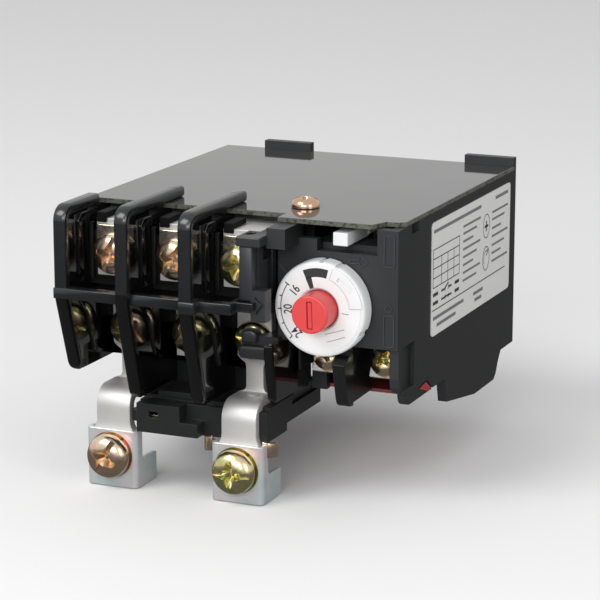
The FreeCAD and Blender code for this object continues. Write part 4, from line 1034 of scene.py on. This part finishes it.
nutPlate(1, poles[0])
nutPlate(3, poles[2])
print("clamps ready")


def polar(radius, angle):
    return (radius * math.cos(math.radians(angle)), radius * math.sin(math.radians(angle)))


dialBox, buttonBox = edges("dial"), edges("reset_button")
buttonRadius = (buttonBox[3] - buttonBox[0]) / 2
# ticks: angle, inner and outer end; numbers: angle and place; nicks: angle and half width; bands: inner and
# outer radius, first and last angle, steps; collar: both radii and height
dial = {"x": (dialBox[0] + dialBox[3]) / 2, "z": (dialBox[2] + dialBox[5]) / 2, "radius": 11.0, "hub": 5.6,
        "face": face - dialBox[1], "gap": 0.35, "bore": buttonRadius + 0.15, "film": 0.12, "ink": 0.03,
        "letters": 2.9, "squeeze": 0.78, "numbers": (("16", 146, 6.9), ("20", 184, 7.35), ("24", 227, 7.6)),
        "ticks": ((145, 8.6, 9.25), (145, 9.1, 9.9), (165, 9.1, 9.8), (183.5, 8.9, 9.95), (204, 9.1, 9.8),
                  (226, 9.1, 10.0)), "tick": 0.26, "nicks": ((88, 0.5), (67, 0.5), (-27, 0.7)),
        "rules": ((polar(buttonRadius + 1.15, -3.5), polar(7.2, -3.5), 0.12),
                  ((1.6, -5.5), (6.2, -4.0), 0.10),
                  ((2.11, -7.2), (6.37, -5.7), 0.10)),
        "bands": ((9.05, 9.25, 145, 226, 40), (7.45, 9.45, 76, 114, 40), (5.0, 7.6, 103.5, 114.5, 8)),
        "step": (7.5, 6, 70, 0.32), "slot": ((4.5, 7.3), (7.9, 4.8), 0.95), "slotDeep": 0.35,
        "scale": (0.55, 10.0, 7.35), "collar": (3.0, 4.8, 2)}
dialPlace = at(dial["x"], face, dial["z"]) @ facingOut


def sector(name, inner, outer, first, last, low, high, steps=40):
    # part of a ring between two angles in degrees
    turn = [math.radians(first + (last - first) * k / steps) for k in range(steps + 1)]
    outline = [(outer * math.cos(a), outer * math.sin(a)) for a in turn]
    outline += [(inner * math.cos(a), inner * math.sin(a)) for a in reversed(turn)]
    return prism(name, outline, low, high, "z")


def letters(text, size, place):
    # figures as a thin mesh, a touch bolder than the font
    curve = bpy.data.curves.new("letters", "FONT")
    curve.body = text
    curve.size = size * mm
    curve.align_x = "CENTER"
    curve.align_y = "CENTER"
    curve.extrude = dial["ink"] * mm / 2
    curve.offset = 0.035 * mm
    item = placed("letters", curve)
    mesh = finalMesh(item)
    bpy.data.objects.remove(item)
    return moved(placed("letters", mesh), place)


def dialPiece():
    radius, top, gap, hub = dial["radius"], dial["face"], dial["gap"], dial["hub"]
    bore, end = dial["bore"], face - dialBox[4]
    inside, outside, collar = dial["collar"]
    seat = end + collar
    profile = [(bore, top - 0.4), (bore + 0.4, top), (radius - 1.0, top)]
    profile += [(radius - 1.0 + 0.9 * math.sin(a), top - 0.9 + 0.9 * math.cos(a))
                for a in (math.radians(15 * k) for k in range(1, 7))]
    profile += [(radius, top - 1.4), (radius, gap + 0.3), (radius - 0.3, gap), (hub, gap), (hub, seat),
                (outside, seat), (outside, end), (inside, end), (inside, seat), (bore, seat)]
    disc = lathe("dialDisc", profile, 96)
    inner, first, last, rise = dial["step"]
    step = softened(sector("step", inner, radius - 0.55, first, last, top - 0.5, top + rise), 0.28, 3)
    cutBy(step, [stroke(*dial["slot"], top - dial["slotDeep"], top + 1)])
    tools = []
    for angle, wide in dial["nicks"]:
        spin = Matrix.Rotation(math.radians(angle), 4, "Z")
        tools.append(moved(block("nick", (-0.7, -wide, gap - 1), (0.7, wide, top + 1)),
                           at(*polar(radius + 0.35, angle), 0) @ spin))
    cutBy(disc, tools)
    whole = moved(gather("settingDial", [disc, step]), dialPlace)
    keep(whole, paints["white_plastic"], "dial", ["dial"], 0.08)
    film = top + dial["film"]
    start, wide, narrow = dial["scale"]
    parts = [sector("film", bore + start, wide, last + 1, 365, top - 0.05, film, 90),
             sector("filmStep", bore + start, narrow, 5, last + 1, top - 0.05, film, 30)]
    keep(moved(gather("dialScale", parts), dialPlace), paints["scale"], "dial", ["dial_scale"])
    ink = film + dial["ink"]
    marks = [sector("band", *band, film, ink, steps) for *band, steps in dial["bands"]]
    marks += [stroke(polar(near, angle), polar(far, angle), dial["tick"], film, ink)
              for angle, near, far in dial["ticks"]]
    marks += [stroke(*ends, width, film, ink) for *ends, width in dial["rules"]]
    for text, angle, out in dial["numbers"]:
        spin = Matrix.Rotation(math.radians(angle - 90), 4, "Z") @ Matrix.Diagonal((dial["squeeze"], 1, 1, 1))
        spot = at(*polar(out, angle), film + dial["ink"] / 2)
        marks.append(letters(text, dial["letters"], spot @ spin))
    keep(moved(gather("dialPrint", marks), dialPlace), finishAndPaintedLight["ink"], "dial", ["dial_scale"])


dialPiece()


# corners of the driver slot, and of the raised core in it
button = {"stem": 2.0, "round": 0.5, "deep": 0.7,
          "slot": [(-0.72, 3.0), (0.62, 3.0), (0.85, -3.3), (-0.55, -3.3)],
          "core": [(-0.5, 2.75), (0.42, 2.75), (0.62, -3.05), (-0.34, -3.05)], "coreDrop": 0.22}


def resetButton():
    # red button with a moulded driver slot, and the stem that carries it
    radius, stem, turn = buttonRadius, button["stem"], button["round"]
    top, end = face - buttonBox[1], face - buttonBox[4]
    profile = [(0, end), (stem, end), (stem, 0.2), (radius, 0.2), (radius, top - 0.55)]
    profile += [(radius - turn + turn * math.cos(a), top - turn + turn * math.sin(a))
                for a in (math.radians(18 * k) for k in range(1, 6))]
    body = lathe("resetButton", profile + [(0, top)], 64)
    foot = top - button["deep"]
    cutBy(body, [prism("slot", [(*spot, 0.2) for spot in button["slot"]], foot, top + 1, "z")])
    core = prism("core", [(*spot, 0.15) for spot in button["core"]], foot - 0.1,
                 top - button["coreDrop"], "z")
    keep(moved(gather("resetButton", [body, core]), dialPlace), paints["red_plastic"],
         "button", ["reset_button"], 0.1)


resetButton()
print("dial ready")


label = {"round": 1.1, "print": 0.03, "line": 0.22, "table": (0.8, 18.6, 11.4, 20.4),
         "columns": (5.6, 9.8, 14), "rule": ((0.5, 6.1), (52.5, 6.1), 0.26), "signs": (7.7, 9.7),
         "dials": (38.0, 19.0, 11.0), "dialSize": (2.378, 2.9), "innerSize": (1.558, 1.9),
         # terminals, leads and blade of a contact sign: start, end and width, with the blade's rise left open
         "sign": (((0.8, 0), (4.2, 0), 0.8), ((6.4, 0), (8.4, 0), 0.5), ((11.4, 0), (13.4, 0), 0.5),
                  ((15.6, 0), (18.6, 0), 0.8), ((8.9, -0.5), (9.3, 0.5), 0.35),
                  ((11.0, -0.5), (11.4, 0.5), 0.35)),
         # first and last place of each column of rules, and its heights
         "rows": ((1.0, 34.0, (24.6,)), (21.2, 33.6, (22.0, 20.3, 18.4, 16.5, 14.6, 12.7, 10.8, 8.9)),
                  (42.2, 54.2, (21.6, 19.8, 17.6, 15.6, 13.4, 11.4, 9.4)), (1.0, 22.0, (4.1,)),
                  (3.5, 16.5, (2.2,)), (44.6, 54.2, (24.8,)), (29.0, 36.0, (4.0,)), (30.0, 35.0, (2.3,)))}


def sideLabel():
    # film with a ruled table, two dials and two contact signs, without words
    low, front, foot, high, rear, head = edges("side_label")
    r, thin = label["round"], label["line"]
    film = prism("sideLabel", [(front, foot, r), (rear, foot, r), (rear, head, r), (front, head, r)],
                 low, high)
    keep(film, paints["label"], hides=["side_label"])
    depth = (high, high + label["print"], "x")
    shift = at(0, front, foot)
    left, right, low, top = label["table"]
    row = (top - low) / 4
    dark = [stroke((left, low + row * k), (right, low + row * k), thin, *depth) for k in range(5)]
    dark += [stroke((u, low), (u, top), thin, *depth) for u in (left, right)]
    dark += [stroke((left + u, low), (left + u, top - row), thin, *depth) for u in label["columns"]]
    dark.append(stroke(*label["rule"], *depth))
    for v in label["signs"]:
        # the contact is closed on the lower sign
        blade = ((8.4, 0), (11.2, 0.1 if v == min(label["signs"]) else 1.1), 0.45)
        for (a, b), (c, d), wide in (*label["sign"], blade):
            dark.append(stroke((a, v + b), (c, v + d), wide, *depth))
    x, upper, lower = label["dials"]
    for v in (upper, lower):
        dark += strokes(oval((x, v), *label["dialSize"]), thin, *depth)
    dark += [stroke((x - 1.3, upper), (x + 1.3, upper), 0.6, *depth),
             stroke((x, upper - 1.3), (x, upper + 1.3), 0.6, *depth)]
    dark += strokes(oval((x, lower), *label["innerSize"], 36, 4, 22), thin, *depth)
    dark.append(stroke((x + 0.4, lower + 0.6), (x + 1.4, lower + 2.2), 0.4, *depth))
    keep(moved(gather("labelPrint", dark), shift), finishAndPaintedLight["ink"])
    grey = []
    for first, last, heights in label["rows"]:
        single = len(heights) == 1
        for k, v in enumerate(heights):
            end = last if single else last - 2.6 * (k % 3)
            grey.append(stroke((first, v), (end, v), 0.8 if single else 0.55, *depth))
    keep(moved(gather("labelRules", grey), shift), finishAndPaintedLight["greyInk"])


sideLabel()


# places (x, z) on the dial panel; each frame goes from its foot to its head
marks = {"proud": 0.22, "arrow": [(28.0, 15.0), (30.3, 15.1), (30.2, 16.4), (32.4, 14.6), (30.6, 13.4),
                                  (30.4, 14.3), (28.1, 14.1), (28.0, 15.0)],
         "ring": ((37.3, 4.6), 0.75), "frames": ((14.0, 21.0), (-4.2, 2.9)), "frameSides": (36.2, 38.6),
         "ridge": [(11.0, 12.6), (12.4, 10.9), (14.2, 9.6)]}


def panelMarks():
    # raised arrow, ring, frames and ridge on the dial panel
    depth = (ahead(marks["proud"]), behind(0.05), "y")
    centre, radius = marks["ring"]
    parts = strokes(marks["arrow"], 0.24, *depth) + strokes(oval(centre, radius, radius, 24), 0.26, *depth)
    left, right = marks["frameSides"]
    for foot, head in marks["frames"]:
        corners = [(left, foot), (right, foot), (right, head), (left, head), (left, foot)]
        parts += strokes(corners, 0.28, *depth)
    parts += strokes(marks["ridge"], 0.5, *depth)
    # the marks take the lighter moulding copy as painted highlight
    keep(gather("panelMarks", parts), finishAndPaintedLight["mark"])


panelMarks()


# boxes counted from the left lower corner of the block, and forward from the panel; the sheet's (y, z, x)
bits = {"lug": ((-1.5, 5.8, 1.9), (0.1, 3.6, 4.9)), "strip": ((4.15, 7.4, 4.05), (6.4, 4.8, 4.45)),
        "corner": [(-66.6, -17.6), (-62.6, -16.9), (-59.2, -19.1), (-61.0, -19.6)], "cornerX": (38.7, 39.3)}


def looseBits():
    # lug beside the block, the strip seen in its slot, the corner of the bottom sheet
    x, z = edges("lower_block")[0], edges("lower_block")[2]

    def besideBlock(name, corners):
        return block(name, *[(x + a, ahead(b), z + c) for a, b, c in corners])

    keep(besideBlock("blockLug", bits["lug"]), finishAndPaintedLight["block"], edge=0.25)
    # the strip takes the zinc darkened as painted shade of its slot
    keep(besideBlock("slotStrip", bits["strip"]), finishAndPaintedLight["zincInShade"], edge=0.1)
    keep(prism("sheetCorner", bits["corner"], *bits["cornerX"]), finishAndPaintedLight["fibreEdge"], edge=0.1)


looseBits()
print("label and panel marks ready")


# the lower washers take the zinc darkened as painted shade under the screws
for i in (1, 2, 3):
    nodes["lower_washer_%d" % i].data.materials[0] = finishAndPaintedLight["zincInShade"]
# nodes that stay, with the widths of their rounded edges
softEdges = {"case": 0.3, "cover_plate": 0.12, "lower_block": 0.25, "control_block": 0.3, "trip_lever": 0.45,
             "upper_strip_1": 0.25, "upper_strip_2": 0.25, "upper_strip_3": 0.25, "lower_strip_2": 0.2,
             "lower_washer_1": 0.2, "lower_washer_2": 0.2, "lower_washer_3": 0.2}
for name, width in softEdges.items():
    softenFrame(name, width)
nodes["case"].data.materials[0] = casePaint()
# the lower block takes the lighter moulding copy as painted sheen
nodes["lower_block"].data.materials[0] = finishAndPaintedLight["block"]


view = {"aim": (19.8, -91.0, 6.9), "distance": 536.5, "azimuth": 23.2, "elevation": 13.45, "lens": 145.8}
# brightness of the floor and of the world; the camera and reflections see other tones than the object does
studio = {"white": 0.86, "world": 0.60, "seen": 0.80, "mirrored": 0.84, "floorMirror": 0.14, "reach": 3.0,
          # place, size and power of each lamp
          "lamps": {"key": ((-0.45, -0.75, 0.85), (0.55, 0.55), 6.0),
                    "front": ((0.15, -1.2, 0.45), (0.7, 0.35), 5.6),
                    "side": ((0.95, -0.55, 0.35), (0.4, 0.5), 2.0)}, "aim": (0, -0.04, 0)}


def camera():
    azimuth, elevation = math.radians(view["azimuth"]), math.radians(view["elevation"])
    back = Vector((math.sin(azimuth) * math.cos(elevation), -math.cos(azimuth) * math.cos(elevation),
                   math.sin(elevation)))
    lens = bpy.data.cameras.new("camera")
    lens.lens = view["lens"]
    lens.sensor_width = 36
    lens.clip_start = 0.01
    lens.clip_end = 20
    eye = placed("camera", lens)
    eye.location = (Vector(view["aim"]) + back * view["distance"]) * mm
    eye.rotation_euler = (-back).to_track_quat("-Z", "Y").to_euler()
    scene.camera = eye


def lamp(name, place, size, power):
    light = bpy.data.lights.new(name, "AREA")
    light.shape = "RECTANGLE"
    light.size, light.size_y = size
    light.energy = power
    item = placed(name, light)
    item.location = place
    item.rotation_euler = (Vector(studio["aim"]) - Vector(place)).to_track_quat("-Z", "Y").to_euler()


def floor():
    reach, height = studio["reach"], cadBox[0].z - 0.0002
    mesh = bpy.data.meshes.new("floor")
    mesh.from_pydata([(-reach, -reach, height), (reach, -reach, height), (reach, reach, height),
                      (-reach, reach, height)], [], [(0, 1, 2, 3)])
    item = placed("floor", mesh)
    p = Paint("paleFloor")
    p.surface(colour=(studio["white"],) * 3, rough=0.8, gloss=0.2)
    # reflections on the object show the floor in a darker grey
    grey = p.add("ShaderNodeEmission", {}, {"Color": (studio["floorMirror"],) * 3 + (1,)})
    glossy = p.add("ShaderNodeLightPath", output="Is Glossy Ray")
    both = p.add("ShaderNodeMixShader", {}, {0: glossy, 1: Wire(p, p.shader.outputs[0]), 2: grey})
    p.feed(p.tree.nodes["Material Output"].inputs["Surface"], both)
    item.data.materials.append(p.owner)


def backdrop():
    # the world lights the object evenly; the camera and reflections see it as a pale wall
    p = Paint("studio", bpy.data.worlds, "Background")
    strength = studio["world"]
    for output, tone in (("Is Camera Ray", "seen"), ("Is Glossy Ray", "mirrored")):
        strength = strength + (studio[tone] - studio["world"]) * p.add("ShaderNodeLightPath", output=output)
    p.feed(p.shader.inputs["Color"], (1, 1, 1, 1))
    p.feed(p.shader.inputs["Strength"], strength)
    scene.world = p.owner


camera()
floor()
backdrop()
for name, values in studio["lamps"].items():
    lamp(name, *values)
scene.view_settings.view_transform = "Standard"
print("stage ready")
